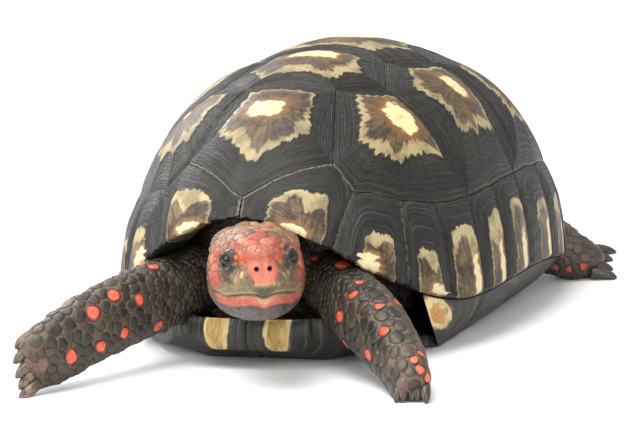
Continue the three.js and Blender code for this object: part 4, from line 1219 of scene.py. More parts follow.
def eye_axis(flip):
    """Which way an eye looks; flip is 1 for the left one and -1 for the right."""
    return np.array([math.sin(EYE_TURN) * flip, -math.cos(EYE_TURN), 0.02])


def from_eye(points, flip):
    """How far points lie from the middle of an eye's opening."""
    return np.linalg.norm(points - EYE_PLACE * [flip, 1, 1] - eye_axis(flip) * LID_OUT, axis=1)


points = from_row(mesh_points(skin.data))
head_surface = BVHTree.FromPolygons(*head_loft(COAT_DEPTH))
head_points = to_head(points)
chosen = np.nonzero(head_box(points, 17))[0]
for index in chosen:
    place, normal, _, distance = head_surface.find_nearest(Vector(head_points[index]))
    if distance < 1.5:
        head_points[index] = np.array(place)
face = head_points[chosen]
x, y, z = face.T
side = np.sign(x)
wide = np.abs(x)
outward = unit(np.stack([x * 0.9, (y - 4) * 0.55, (z - HEAD_WIDEST) * 0.9], -1))
push = np.zeros(len(face))
push += 1.5 * near(wide, 9.2, 2.4) * near(z, 5.9, 1.6) * near(y, -2.6, 5.5)  # brow ridge
push -= 0.7 * near(wide, 0, 3.4) * near(z, 8.6, 3.0) * near(y, -7, 4.5)  # between the brows
push -= 2.3 * near(wide, 9.4, 2.7) * near(z, -1.6, 3.8) * near(y, -9.6, 3.6)  # hollow before the eye
push -= 0.8 * near(wide, 12.3, 3.2) * near(z, -7.4, 1.9) * near(y, -1.5, 5.5)  # under the eye
push += 0.5 * near(wide, 13.5, 3.0) * near(z, -4.4, 1.3) * near(y, 1.0, 5)  # lower orbit
push += 0.8 * near(wide, 4.6, 2.6) * near(z, -3.0, 3.4) * smooth((-12.5 - y) / 3)  # nose cushions
push -= 0.45 * near(wide, 0, 0.9) * near(z, -2.0, 5.0) * smooth((-13.5 - y) / 2)  # groove between them
creases = np.sin(z * 2.3 + 1.7 * np.sin(wide * 0.6 + side) + y * 0.35)
creases = creases * np.sin(wide * 0.5 + y * 0.8 + side * 2 + 1.2 * np.sin(z * 0.8))
push += 0.20 * creases * (z > -9) * smooth((y + 13) / 4)  # wrinkled crown and cheeks
upright = np.sin(wide * 3.4 + 0.9 * np.sin(z * 0.9 + side * 2)) * near(z, -9.6, 1.9) * smooth((4 - y) / 4)
push += 0.16 * upright  # ridges of the beak
push += 1.2 * near(wide, 13.2, 4.5) * near(z, -14.2, 4.2) * near(y, -1, 9)  # broad jaw
push += 2.3 * near(y, 17.2 + 0.6 * np.sin(x * 0.7), 1.7) * smooth((z - 1) / 5)  # collar behind the crown
push += 0.55 * near(wide, 17.0, 4.0) * near(z, -6.0, 4.5) * near(y, 9, 5)  # jaw muscle
push -= 0.5 * near(wide, 17.5, 2.4) * near(z, -3.2, 2.6) * near(y, 11.5, 2.6)  # ear drum
push += 0.35 * near(wide, 0, 3.2) * near(z, 1.0, 2.4) * smooth((-13.0 - y) / 3)  # tip of the nose
push -= 0.35 * near(wide, 5.4, 2.0) * near(z, 0.0, 3.0) * smooth((-11.0 - y) / 3)
line = mouth_height(y, x)
below = z - line
mouth = smooth((9.5 - y) / 2.5)
push -= 1.25 * near(below, 0, 0.42) * mouth
push += 0.38 * near(below, 1.3, 1.0) * mouth  # beak's edge
push += 0.30 * near(below, -2.3, 1.3) * mouth  # lower lip
push -= 0.55 * near(below, -4.9, 0.5) * mouth * smooth((6 - y) / 3)  # under the lower lip
push -= 0.35 * smooth((-6.2 - below) / 5) * smooth((2 - y) / 8)  # chin drawn in
face = face + outward * push[:, None]
for flip in (1, -1):
    to_nostril = face - NOSTRIL * [flip, 1, 1]
    spread = np.hypot(to_nostril[:, 0] * 0.9, to_nostril[:, 2] * 1.15)
    sunk = 2.6 * (1 - smooth(spread / NOSTRIL_RADIUS / 1.15)) - 0.22 * near(spread, 1.25, 0.45)
    face[:, 1] += (face[:, 1] < -12) * sunk

# Lids: seen from the eyeball's middle, everything inside the opening sinks behind the eye, and a thick
# rim lies on it, with one crease above and two below.
for flip in (1, -1):
    centre = EYE_PLACE * [flip, 1, 1]
    along = np.array([math.cos(EYE_TURN) * flip, math.sin(EYE_TURN), 0])
    offset = face - centre
    distance = np.linalg.norm(offset, axis=1)
    ray = offset / distance[:, None]
    ahead = ray @ eye_axis(flip)
    sideways = np.arctan2(ray @ along, np.maximum(ahead, 1e-3))
    upward = np.arctan2(ray[:, 2], np.maximum(ahead, 1e-3))
    ratio = np.sqrt((sideways / LID_OPENING[0]) ** 2 + (upward / LID_OPENING[1]) ** 2)
    ratio = np.where((ahead > 0.05) & (face[:, 0] * flip > 2), ratio, 9)
    lid = EYE_RADIUS + LID_THICKNESS * smooth((ratio - 1.0) / 0.14)
    lid = np.where(ratio < 1.0, EYE_RADIUS - 1.1, lid)
    crease = -0.28 * near(ratio, 1.42, 0.07) - 0.22 * near(ratio, 1.8, 0.08) * (upward < 0)
    swell = 0.22 * near(ratio, 1.22, 0.12)
    outside = smooth((ratio - 1.3) / 1.1)
    target = (lid + swell) * (1 - outside) + distance * outside + crease
    closeness = smooth((2.6 - ratio) / 0.4)
    face = centre + ray * (distance + (target - distance) * closeness)[:, None]

head_points[chosen] = face
points[chosen] = from_head(head_points)[chosen]
on_face = np.zeros(len(points), bool)
on_face[chosen] = True


# ---- Skin: folds, floor and colour ----
# Loose folds ring the neck and the roots of the limbs. Where the animal stands, the skin is flat on
# the floor. Each point carries its colour: coral, tan, olive and slate on the head, earth brown on
# the limbs, darker towards the body.

CORAL = np.array([0.50, 0.080, 0.048])
LIGHT_CORAL = np.array([0.60, 0.19, 0.125])
TAN = np.array([0.28, 0.18, 0.095])
OLIVE = np.array([0.15, 0.12, 0.068])
CREAM = np.array([0.50, 0.38, 0.20])
BEAK = np.array([0.050, 0.050, 0.038])
SLATE = np.array([0.070, 0.058, 0.055])
LID_GREY = np.array([0.030, 0.029, 0.032])
FIERY = np.array([0.50, 0.085, 0.022])
NOSTRIL_DARK = np.array([0.022, 0.006, 0.005])
NET_TAN = np.array([0.128, 0.090, 0.057])
EARTH = np.array([0.020, 0.0145, 0.0105])


def mixed(first, second, share):
    """Colours a share of the way from the first to the second, for every point."""
    return first + (second - first) * np.clip(share, 0, 1)[:, None]


def bare_nose(points):
    """1 on the soft skin round the nostrils, which wears no shields."""
    x, y, z = points.T
    wide = np.abs(x) + 0.5 * np.sin(z * 1.3)
    return smooth((6.0 - wide) / 0.9) * smooth((-11.6 - y) / 0.9) * smooth((3.9 - z) / 0.9)


def head_tint(points):
    """Colour of the head at points in its own frame."""
    x, y, z = points.T
    wide = np.abs(x)
    wobble = 0.8 * np.sin(x * 0.9 + z * 0.7) + 0.7 * np.sin(y * 1.1 + z * 0.5 + 1)
    wobble = wobble + 0.5 * np.sin(x * 2.3 - z * 1.9)
    blotch = np.sin(x * 1.3 + 2 * np.sin(z * 0.8)) * np.sin(z * 1.5 + y * 0.9 + 1.5 * np.sin(x))
    blotch = np.clip(0.5 + 0.5 * blotch, 0, 1)
    fleck = np.clip(0.5 + 0.6 * np.sin(x * 3.7 + 1.6 * np.sin(z * 2.1)) * np.sin(z * 3.3 + y * 2.2), 0, 1)
    tint = mixed(OLIVE * 0.76, OLIVE * 0.45, blotch * 0.8)
    line = mouth_height(y, x)
    chin = smooth((line - 4.2 + 0.5 * wobble * (wide > 4) - z) / 0.6)
    beak = near(z, line + 3.2, 2.6) * smooth((6 - y) / 4)
    tint = mixed(tint, CREAM * 0.55, beak * fleck * 0.75)
    under_eye = near(wide, 8.5, 2.2) * near(z, -5.2 - (wide - 8) * 0.3, 1.0)
    tint = mixed(tint, CREAM * 0.8, under_eye * 0.9)
    crown = smooth((y + 1.5 + wobble) / 5) * smooth((z - 1) / 4)
    forehead = smooth((1.0 - y + wobble) / 3) * smooth((z - 2.6 + wobble * 0.7) / 1.6)
    tint = mixed(tint, mixed(TAN * 0.82, CORAL * 0.6, blotch * 0.4), crown)
    red = mixed(CORAL * 0.70, LIGHT_CORAL * 0.70, fleck * 0.5)
    red = mixed(red, TAN * 0.65, smooth((blotch - 0.62) / 0.25) * 0.7)
    tint = mixed(tint, red, forehead)
    nose = smooth((6.2 - wide + wobble * 0.35 - np.maximum(-4 - z, 0) * 0.22) / 1.2)
    nose = nose * smooth((z + 10.2) / 1.6) * smooth((-6 - y) / 4) * (1 - 0.75 * smooth((z - 1.5) / 3))
    nose_red = mixed(LIGHT_CORAL, CORAL * 1.1, fleck * 0.45 + (wide > 3.4) * 0.25)
    nose_red = mixed(nose_red, CREAM * 1.1, near(z, 0.8, 1.6) * near(wide, 0.6, 1.6) * 0.6)
    nose_red = mixed(nose_red, CREAM * 1.05, near(z, -9.6, 1.0) * 0.75)
    nose_red = mixed(nose_red, CORAL * [0.9, 0.85, 0.7], near(wide, 5.2, 0.9) * smooth((-8 - y) / 3) * 0.6)
    tint = mixed(tint, nose_red, nose)
    bridge = near(z, 1.6, 3.0) * smooth((9.5 - wide + wobble * 0.5) / 2) * smooth((-3 - y) / 3)
    tint = mixed(tint, red, bridge)
    fiery = near(wide, 7.6, 1.7) * near(z, 0.6, 2.6) * near(y, -9.0, 3.2)
    tint = mixed(tint, FIERY, fiery * 1.5)
    temple = smooth((wide - 12.6 + wobble * 0.4) / 1.2) * near(y, 7.0, 4.4) * near(z, -2.0, 7.5)
    tint = mixed(tint, CORAL * 0.40 + LIGHT_CORAL * 0.27, temple * 1.7)
    upper_edge = near(z, line + 4.4 - 0.10 * wide, 0.7) * smooth((-4 - y) / 4) * (1 - nose)
    tint = mixed(tint, CREAM * 0.66, upper_edge * 0.5)
    hook = np.clip(near(wide, 0, 3.9) * near(z, line + 1.9, 1.7) * smooth((-11 - y) / 3) * 1.4, 0, 1)
    tint = mixed(tint, BEAK * 1.25, hook)
    edge = near(z, line + 0.9, 0.55) * smooth((8 - y) / 3) * (1 - hook)
    tint = mixed(tint, CREAM * 0.62, edge * 0.8)
    lip = smooth((line + 0.1 - z) / 0.4) * (1 - chin) * smooth((8 - y) / 3)
    lip_red = mixed(CORAL * 0.84, LIGHT_CORAL * 0.82, blotch * 0.7)
    lip_red = mixed(lip_red, TAN * 0.7, smooth((fleck - 0.72) / 0.2) * 0.45)
    lip_red = mixed(lip_red, CREAM, near(wide, 0, 3.0) * near(z, line - 1.4, 1.2) * 0.75)
    lip_red = mixed(lip_red, CREAM * 0.6, near(z, line - 0.5, 0.35) * 0.8)
    tint = mixed(tint, lip_red, lip)
    under_lip = near(z, line - 4.3, 0.35) * smooth((7 - y) / 3) * (1 - chin * 0.5)
    tint = mixed(tint, BEAK * 0.5, under_lip * 0.8)
    tint = mixed(tint, mixed(SLATE, SLATE * 1.5, fleck * 0.5), chin * smooth((26 - y) / 6))
    back_of_head = smooth((y - 15) / 7)
    tint = mixed(tint, EARTH * 1.6, back_of_head * (1 - smooth((z - 3) / 4) * 0.5))
    for flip in (1, -1):
        to_nostril = points - NOSTRIL * [flip, 1, 1]
        spread = np.hypot(to_nostril[:, 0], to_nostril[:, 2] * 0.9)
        tint = mixed(tint, NOSTRIL_DARK, smooth((NOSTRIL_RADIUS * 1.35 - spread) / 0.35) * (y < -12))
        to_eye = from_eye(points, flip)
        tint = mixed(tint, LID_GREY * 1.6, smooth((5.4 - to_eye) / 1.2) * 0.9)
        tint = mixed(tint, LID_GREY, smooth((3.6 - to_eye) / 0.8))
    return tint


normals = mesh_points(skin.data, "normal")
which, share, angle, gap = nearest_limb(points)
on_neck = which == limb_names.index("neck")
root = np.clip(1 - share / 0.42, 0, 1)
fold_wave = np.sin(share * 58 + 1.6 * np.sin(angle * 2 + which) + 0.8 * np.sin(angle * 5))
loose = np.where(on_neck, 0.75, 0.5) * (0.25 + 0.75 * root)
lump = 0.35 * np.sin(points[:, 0] * 0.55 + 1.3 * np.sin(points[:, 2] * 0.5)) * np.sin(points[:, 1] * 0.47)
points += normals * ((fold_wave * loose + lump) * ~on_face)[:, None]
points[:, 2] = np.maximum(points[:, 2], 0.02)
set_mesh_points(skin.data, in_row(points))

skin_tints = mixed(NET_TAN, EARTH, root * 1.9)
skin_tints = mixed(skin_tints, EARTH * 1.3, smooth((gap - 1.15) / 0.2))
skin_tints = mixed(skin_tints, EARTH * 1.2, on_neck)
behind = np.isin(which, [limb_names.index(name) for name in ("hind_leg_left", "hind_leg_right", "tail")])
skin_tints = mixed(skin_tints, EARTH * 2.2, behind * 0.75)
in_head_box = head_box(points, 24, 21, -26, 15)
head_points = to_head(points)[in_head_box]
face_tints = head_tint(head_points)
between_shields = smooth((head_points[:, 2] + 8.5) / 1.5) * (1 - bare_nose(head_points)) * 0.38
skin_tints[in_head_box] = mixed(face_tints, face_tints * 0.22 + OLIVE * 0.14, between_shields)
carry(skin.data, "tint", skin_tints)

skin_hide, tree, shader = new_material("skin_hide", {"IOR": 1.42})
spot = own_place(tree)
pebbles = add_node(tree, "ShaderNodeTexVoronoi", {"Vector": spot, "Scale": 900.0}, feature="DISTANCE_TO_EDGE")
pebble = step_mask(tree, pebbles.outputs["Distance"], 0.0, 0.28)
cloud = noise(tree, spot, 160, 3.0)
tint = carried_value(tree, "tint", "Vector")
colour = blend(tree, step_mask(tree, cloud, 0.3, 0.7, 0.6), tint, (0.5, 0.5, 0.5), "OVERLAY")
shade = blend(tree, pebble, (0.68, 0.64, 0.62), (1.0, 1.0, 1.0))
colour = blend(tree, 0.8, colour, shade, "MULTIPLY")
dullness = math_node(tree, "MULTIPLY_ADD", cloud, 0.2, 0.45)
height = math_node(tree, "MULTIPLY_ADD", noise(tree, spot, 2200, 2.0), 0.35, pebble)
lay_surface(tree, shader, colour, dullness, height, 0.00013, 0.7)
skin.data.materials.append(skin_hide)
skin.data.polygons.foreach_set("use_smooth", [True] * len(skin.data.polygons))
skin.data.update()
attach(skin, "root")
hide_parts("trunk", "neck", "head", "lower_jaw", "front_leg_left", "front_leg_right",
            "hind_leg_left", "hind_leg_right", "tail")

# ---- Eyes ----
# Two wet, near-black eyeballs with a dark brown iris, looking out and forward. Each is a ball with a
# slightly bulging cornea, and sits behind its lids.

eye_glaze, tree, shader = new_material("eye_glaze", {"Roughness": 0.06, "IOR": 1.38})
gaze = carried_value(tree, "gaze")
fibres = noise(tree, own_place(tree), 1500, 2.0)
iris = blend(tree, fibres, (0.012, 0.007, 0.004), (0.06, 0.032, 0.014))
colour = blend(tree, step_mask(tree, gaze, 0.93, 0.90), (0.0015, 0.0015, 0.0015), iris)
colour = blend(tree, step_mask(tree, gaze, 0.80, 0.74), colour, (0.03, 0.026, 0.022))
lay_surface(tree, shader, colour)
for name, flip in (("eye_left", 1), ("eye_right", -1)):
    bpy.ops.object.select_all(action="DESELECT")
    bpy.ops.mesh.primitive_uv_sphere_add(segments=48, ring_count=32, radius=EYE_RADIUS * 0.001)
    eye = bpy.context.object
    eye.name = name + "_ball"
    points = mesh_points(eye.data) * 1000
    looking = unit(points) @ unit(eye_axis(flip))
    bulge = points * (1 + 0.035 * smooth((looking - 0.72) / 0.25))[:, None]
    set_mesh_points(eye.data, in_row(from_head(bulge + EYE_PLACE * [flip, 1, 1])))
    carry(eye.data, "gaze", looking)
    eye.data.materials.append(eye_glaze)
    bpy.ops.object.shade_smooth()
    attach(eye, "root")
    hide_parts(name)

# ---- Scales of the limbs, neck and tail ----
# Horny scales cover the limbs like cobbles: large, raised, many-sided plates down the front of the
# forelegs, small beads in the folds. Each is a closed low dome rooted in the skin, its free edge a
# little lifted towards the foot. Some are coral red with a dark rim.

SCALE_GAP = -0.22  # mm between two scales; below zero their sunk edges meet
SCALE_ROOT = 0.35  # how deep a scale's edge is sunk in the skin
SCALE_PROFILE = [(1.0, None), (0.95, 0.42), (0.76, 0.88), (0.40, 1.0)]  # share out, share of the height
SCALE_LIFT = 0.38  # how much higher its free edge stands
CROWDING = 0.80  # how near two scales may start, as a share of their radii
DARTS = 52000
UV_PATCH = 0.003
CORNER_POWER = 14.0  # higher for sharper corners
RED_POWER = 6.0
SCALE_RED = np.array([0.60, 0.080, 0.042])
SCALE_DARK = np.array([0.0165, 0.0175, 0.0135])
SCALE_BROWN = np.array([0.050, 0.031, 0.021])
SCALE_MAUVE = np.array([0.088, 0.050, 0.042])
RED_SCALES = {  # in the shell's frame, each with its radius
    "front_leg_right": [
        (-36.6, -121.6, 40.5, 2.2), (-45.2, -144.2, 32.9, 2.5), (-38.2, -135.5, 29.8, 2.5),
        (-49.4, -153.6, 28.1, 3.1), (-41.9, -142.3, 18.1, 2.4), (-47.9, -152.2, 14.5, 2.6),
        (-54.7, -163.7, 13.3, 3.0), (-34.3, -126.3, 17.7, 2.9), (-43.4, -119.7, 40.6, 1.9),
        (-49.7, -129.6, 38.3, 1.9), (-60, -137, 30, 2.2), (-52, -118, 34, 2.0), (-66, -151, 25, 2.3),
    ],
    "front_leg_left": [
        (21, -98.3, 40.2, 1.6), (35.2, -108.6, 40.1, 2.7), (47.1, -122.8, 36.5, 1.7),
        (48.4, -129.8, 32.5, 2.4), (41.4, -126.6, 23.9, 2.7), (59.9, -137.3, 30.4, 1.9),
        (65.7, -148.7, 23.5, 2.1), (57.4, -144, 12.3, 2.7), (43.6, -124.5, 14.3, 1.9),
        (81.2, -154.4, 16.5, 1.6), (80.2, -158.8, 14.8, 1.6), (82.6, -159.7, 12, 2.0),
        (84.2, -158.9, 7.8, 1.5), (66, -128, 30, 2.2), (55, -112, 32, 2.0),
    ],
    "hind_leg_left": [
        (75.1, 62.8, 7.2, 2.0), (79.9, 65.1, 5.6, 1.8), (87.1, 68.6, 6.4, 1.7), (72, 84, 20, 1.9),
        (84, 92, 12, 2.0), (90, 80, 14, 1.7),
    ],
    "hind_leg_right": [
        (-70, 60, 17, 1.9), (-78, 60, 10, 1.8), (-80, 74, 14, 2.0), (-66, 84, 20, 1.9),
    ],
    "tail": [
        (8, 112, 21, 1.5), (14, 120, 15, 1.4), (0, 118, 18, 1.4),
    ],
    "neck": [],
}

skin.data.calc_loop_triangles()
corners = np.empty(len(skin.data.loop_triangles) * 3, np.int32)
skin.data.loop_triangles.foreach_get("vertices", corners)
corners = corners.reshape(-1, 3)
points = from_row(mesh_points(skin.data))
normals = mesh_points(skin.data, "normal")
skin_tree = BVHTree.FromPolygons(points.tolist(), corners.tolist())

hull_points, hull_faces = [], []
for name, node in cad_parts.items():
    if name.split("_")[0] in ("vertebral", "costal", "marginal", "supracaudal", "plastron"):
        start = len(hull_points)
        hull_points += from_row(mesh_points(node.data)).tolist()
        hull_faces += [[start + v for v in polygon.vertices] for polygon in node.data.polygons]
shell_tree = BVHTree.FromPolygons(hull_points, hull_faces)

# Darts thrown evenly over the skin outside the shell: the places where a scale may sit.
dice = np.random.default_rng(7)
edge_a = points[corners[:, 1]] - points[corners[:, 0]]
edge_b = points[corners[:, 2]] - points[corners[:, 0]]
area = np.linalg.norm(np.cross(edge_a, edge_b), axis=1) / 2
area *= (np.abs(points[corners[:, 0], 1]) > 55) & (points[corners[:, 0], 2] < 72)
picked = dice.choice(len(area), DARTS, p=area / area.sum())
u, v = dice.random(len(picked)), dice.random(len(picked))
u, v = np.where(u + v > 1, 1 - u, u)[:, None], np.where(u + v > 1, 1 - v, v)[:, None]
trio = corners[picked]
spots = points[trio[:, 0]] + edge_a[picked] * u + edge_b[picked] * v
facing = unit(normals[trio[:, 0]] * (1 - u - v) + normals[trio[:, 1]] * u + normals[trio[:, 2]] * v)


def seen(place, normal):
    """Whether daylight reaches a spot of skin past the shell."""
    start = Vector(place + normal * 0.6)
    for lean in ((0, 0, 0), (0.8, 0, 0), (-0.8, 0, 0), (0, 0.8, 0), (0, -0.8, 0), (0, 0, 0.8), (0, 0, -0.8)):
        if shell_tree.ray_cast(start, Vector(normal + lean), 120)[0] is None:
            return True
    return False


sole = (spots[:, 2] < 0.7) & (facing[:, 2] < -0.4)
open_air = np.array([seen(place, normal) for place, normal in zip(spots, facing)]) & ~sole
spots, facing = spots[open_air], facing[open_air]
spot_limb, spot_share, spot_angle, spot_gap = nearest_limb(spots)
spot_on_head = head_box(spots, 23, 21, -26, 15)


def search_tree(places):
    tree = KDTree(len(places))
    for index, place in enumerate(places):
        tree.insert(place, index)
    tree.balance()
    return tree


def choose_scales(places, sizes, seeds):
    """Which places hold a scale, and its radius: the seeds (x, y, z, radius), then darts kept clear of one
    another, then twice evened out."""
    tree = search_tree(places)
    free = np.ones(len(places), bool)
    largest = sizes.max()

    def clear_round(place, size):
        for _, other, distance in tree.find_range(place, CROWDING * (size + largest)):
            if distance < CROWDING * (size + sizes[other]):
                free[other] = False

    held = [tree.find(seed[:3])[1] for seed in seeds]
    radii = [seed[3] for seed in seeds]
    for seed in seeds:
        clear_round(seed[:3], seed[3])
    for index, place in enumerate(places):
        if free[index]:
            held.append(index)
            radii.append(sizes[index])
            clear_round(place, sizes[index])
    radii = np.array(radii)
    for _ in range(2):
        middles = places[held]
        middle_tree = search_tree(middles)
        owner = np.empty(len(places), int)
        for index, place in enumerate(places):
            closest = middle_tree.find_n(place, 3)
            owner[index] = min(closest, key=lambda found: found[2] - radii[found[1]])[1]
        total = np.stack([np.bincount(owner, places[:, k], len(middles)) for k in range(3)], -1)
        count = np.bincount(owner, minlength=len(middles))[:, None]
        moved = np.where(count > 0, total / np.maximum(count, 1), middles)
        held[len(seeds):] = [tree.find(place)[1] for place in moved[len(seeds):]]
    return np.array(held), radii


def outlines(middles, facings, radii, directions, gap, powers):
    """How far each scale reaches each way before it meets its neighbours, with rounded corners."""
    tree = search_tree(middles)
    reach = np.empty((len(middles), directions.shape[1]))
    for index, (middle, normal, size, power) in enumerate(zip(middles, facings, radii, powers)):
        around = [found[1] for found in tree.find_range(middle, size * 2 + 3.2)]
        rest = np.array([other for other in around if other != index], int)
        rest = rest[facings[rest] @ normal > 0.2]
        pull = np.full(directions.shape[1], (1 / (size * 2.0)) ** power)
        if len(rest):
            offset = middles[rest] - middle
            offset -= np.outer(offset @ normal, normal)
            distance = np.maximum(np.linalg.norm(offset, axis=1), 0.3)
            reach_share = distance * size / (size + radii[rest])
            cosine = (directions[index] @ (offset / distance[:, None]).T) / reach_share
            pull += (np.maximum(cosine, 0) ** power).sum(axis=1)
        reach[index] = pull ** (-1 / power) - gap / 2
    return np.maximum(reach, 0.18)


def scale_coat(name, middles, facings, lies, radii, heights, tints, red, roots, sides, gap, uneven=1.0):
    """One mesh of closed low domes on the skin, with colours and the root map."""
    lengthwise = unit(lies - facings * (lies * facings).sum(-1, keepdims=True))
    crosswise = np.cross(facings, lengthwise)
    turn = (np.arange(sides) + 0.5) / sides * 2 * math.pi
    directions = lengthwise[:, None] * np.cos(turn)[:, None] + crosswise[:, None] * np.sin(turn)[:, None]
    reach = outlines(middles, facings, radii, directions, gap, np.where(red > 0, RED_POWER, CORNER_POWER))
    rings, levels = [], []
    for reach_share, rise in SCALE_PROFILE:
        rings.append(middles[:, None] + directions * (reach * reach_share)[..., None])
        lift = 1 + SCALE_LIFT * np.cos(turn) * reach_share
        levels.append(np.full_like(reach, -SCALE_ROOT) if rise is None else heights[:, None] * rise * lift)
    flat = np.concatenate([*rings, middles[:, None]], axis=1)
    height = np.concatenate([*levels, heights[:, None] * 1.02], axis=1)
    rim = np.concatenate([np.repeat([reach_share for reach_share, _ in SCALE_PROFILE], sides), [0.0]])
    count = flat.shape[1]
    snapped = np.empty((len(middles), count, 3))
    outward_ways = np.empty((len(middles), count, 3))
    for row in range(len(middles)):
        for column in range(count):
            place, normal, _, _ = skin_tree.find_nearest(flat[row, column])
            snapped[row, column] = place
            outward_ways[row, column] = normal
    outward_ways = unit(outward_ways + facings[:, None] * 2.0)
    scale_points = snapped + outward_ways * height[..., None]
    scale_points[..., 2] = np.maximum(scale_points[..., 2], 0.0)
    k = np.arange(sides)
    after = (k + 1) % sides
    template = [list(range(sides))[::-1]]
    for inner in range(sides, count - 1, sides):
        template += np.stack([inner - sides + k, inner - sides + after, inner + after, inner + k], 1).tolist()
    template += np.stack([inner + k, inner + after, np.full(sides, count - 1)], 1).tolist()
    faces = [[row * count + v for v in face] for row in range(len(middles)) for face in template]
    carried = {
        "tint": np.repeat(tints, count, axis=0),
        "rim": np.tile(rim, len(middles)),
        "red": np.repeat(red, count),
        "tone": np.repeat(0.5 + (dice.random(len(middles)) - 0.5) * uneven, count),
    }
    piece = mesh_piece(name, scale_points.reshape(-1, 3), faces, carried, scale_horn)
    spread = (flat - middles[:, None]) / np.maximum(reach.max(axis=1), 0.2)[:, None, None] * UV_PATCH / 2
    spread = np.stack([(spread * way[:, None]).sum(-1) for way in (lengthwise, crosswise)], -1)
    root_map = np.clip((roots[:, None] + spread).reshape(-1, 2), 0, 1)
    loops = np.empty(len(piece.data.loops), np.int32)
    piece.data.loops.foreach_get("vertex_index", loops)
    layer = piece.data.uv_layers.new(name="OFBake")
    layer.data.foreach_set("uv", root_map[loops].astype(np.float32).ravel())


scale_horn, tree, shader = new_material("scale_horn", {"IOR": 1.48})
spot = own_place(tree)
tint = carried_value(tree, "tint", "Vector")
rim, red, tone = (carried_value(tree, key) for key in ("rim", "red", "tone"))
cloud = noise(tree, spot, 240, 3.0)
grain = noise(tree, spot, 1300, 3.0)
shade = blend(tree, tone, (0.55, 0.55, 0.55), (1.35, 1.3, 1.25))
shading = math_node(tree, "SUBTRACT", 1.0, times(tree, red, 0.7))
colour = blend(tree, shading, tint, shade, "MULTIPLY")
colour = blend(tree, step_mask(tree, cloud, 0.38, 0.68, 0.7), colour, (1.8, 1.65, 1.5), "MULTIPLY")
colour = blend(tree, step_mask(tree, grain, 0.55, 0.40, 0.35), colour, (0.5, 0.48, 0.46), "MULTIPLY")
edge_wander = math_node(tree, "MULTIPLY_ADD", math_node(tree, "SUBTRACT", cloud, 0.5), 0.35, rim)
# Lit grains and two darker rims on the red scales, a pale one on the others.
lit_red = blend(tree, 1.0, tint, (1.2, 2.6, 3.1), "MULTIPLY")
other = math_node(tree, "SUBTRACT", 1.0, red)
for mask, which_scales, over in (
    (step_mask(tree, grain, 0.48, 0.62, 0.45), red, lit_red),
    (step_mask(tree, edge_wander, 0.56, 0.76, 0.8), red, (0.13, 0.020, 0.010)),
    (step_mask(tree, edge_wander, 0.78, 0.90), red, (0.022, 0.014, 0.010)),
    (step_mask(tree, rim, 0.94, 1.0, 0.8), other, tuple(NET_TAN * 1.4)),
):
    colour = blend(tree, times(tree, mask, which_scales), colour, over)
dullness = math_node(tree, "MULTIPLY_ADD", cloud, 0.25, 0.30)
rings = math_node(tree, "MULTIPLY_ADD", rim, 26.0, times(tree, cloud, 8.0))
height = math_node(tree, "MULTIPLY_ADD", math_node(tree, "SINE", rings), 0.25, grain)
lay_surface(tree, shader, colour, dullness, height, 0.00012, 0.7)

FRONT_LIGHT = unit([0.0, -0.8, 0.5])
on_trunk = (spot_gap > 1.2) & ~spot_on_head
for index, name in enumerate(limb_names):
    mine = (spot_limb == index) & ~on_trunk & ~spot_on_head
    places, facings, t = spots[mine], facing[mine], spot_share[mine]
    flank = np.sign(places[:, 0].mean())
    if name.startswith("front_leg"):
        ahead = smooth((facings @ FRONT_LIGHT + 0.45) / 0.7)
        sizes = 1.10 + 1.55 * ahead * smooth((t - 0.16) / 0.30) - 0.6 * smooth((t - 0.90) / 0.1) * ahead
        sizes = sizes * (1 - 0.25 * smooth((facings[:, 0] - 0.45) / 0.4))
    elif name.startswith("hind_leg"):
        outer = smooth((facings @ unit([flank, 0.0, 0.6]) + 0.2) / 0.8)
        sizes = 1.1 + 0.95 * outer * smooth((t - 0.25) / 0.3)
    else:
        sizes = np.full(len(places), {"neck": 1.0, "tail": 1.15}[name])
    sizes = sizes * dice.uniform(0.8, 1.2, len(places))
    seeds = [(*seed[:3], seed[3] * 1.2) for seed in RED_SCALES[name]]
    held, radii = choose_scales(places, sizes, seeds)
    middles, ways_out, t = places[held], facings[held], t[held]
    along = limb_frames(name, t)[1]
    red = (np.arange(len(middles)) < len(seeds)).astype(float)
    upper = np.clip(1 - t / 0.3, 0, 1)
    foot = smooth((t - 0.8) / 0.2)
    tints = mixed(SCALE_DARK, SCALE_BROWN * 0.45, upper)
    browned = np.clip(dice.random(len(middles)) * 0.7 + foot * 0.5, 0, 1)
    tints = mixed(tints, SCALE_BROWN, browned * (1 - upper))
    outer_side = smooth((ways_out[:, 0] * flank - 0.35) / 0.4)
    tints = mixed(tints, SCALE_BROWN * 1.6, outer_side * 0.6 * (1 - upper))
    toes = smooth((t - 0.88) / 0.06) * (dice.random(len(middles)) < 0.6) * name.startswith("front_leg")
    tints = mixed(tints, SCALE_MAUVE, toes * 0.85)
    # The red scales of the hind legs are painted darker, as painted shade.
    hind_painted_shade = 0.5 if name.startswith("hind_leg") else 1.0
    reds = SCALE_RED * hind_painted_shade * dice.uniform(0.85, 1.1, (len(middles), 1))
    tints = np.where(red[:, None] > 0, reds, tints)
    heights = np.clip(radii * 0.24, 0.18, 0.55)
    roots = 0.02 + 0.96 * np.stack([t, spot_angle[mine][held] / (2 * math.pi) + 0.5], -1)
    sides, gap = (12, SCALE_GAP) if "leg" in name else (8, SCALE_GAP * 0.6)
    scale_coat(name + "_scales", middles, ways_out, along, radii, heights, tints, red, roots, sides,
               gap)

places, facings = spots[on_trunk], facing[on_trunk]
held, radii = choose_scales(places, 1.15 * dice.uniform(0.8, 1.2, len(places)), [])
middles = places[held]
plain = np.zeros(len(middles))
roots = np.stack([middles[:, 0] / 200 + 0.5, middles[:, 1] / 280 + 0.5], -1)
scale_coat("body_scales", middles, facings[held], np.array([0.0, 0.0, -1.0]) + 0.01, radii, plain + 0.22,
           plain[:, None] + SCALE_BROWN * 0.4, plain, roots, 8, 0.3)

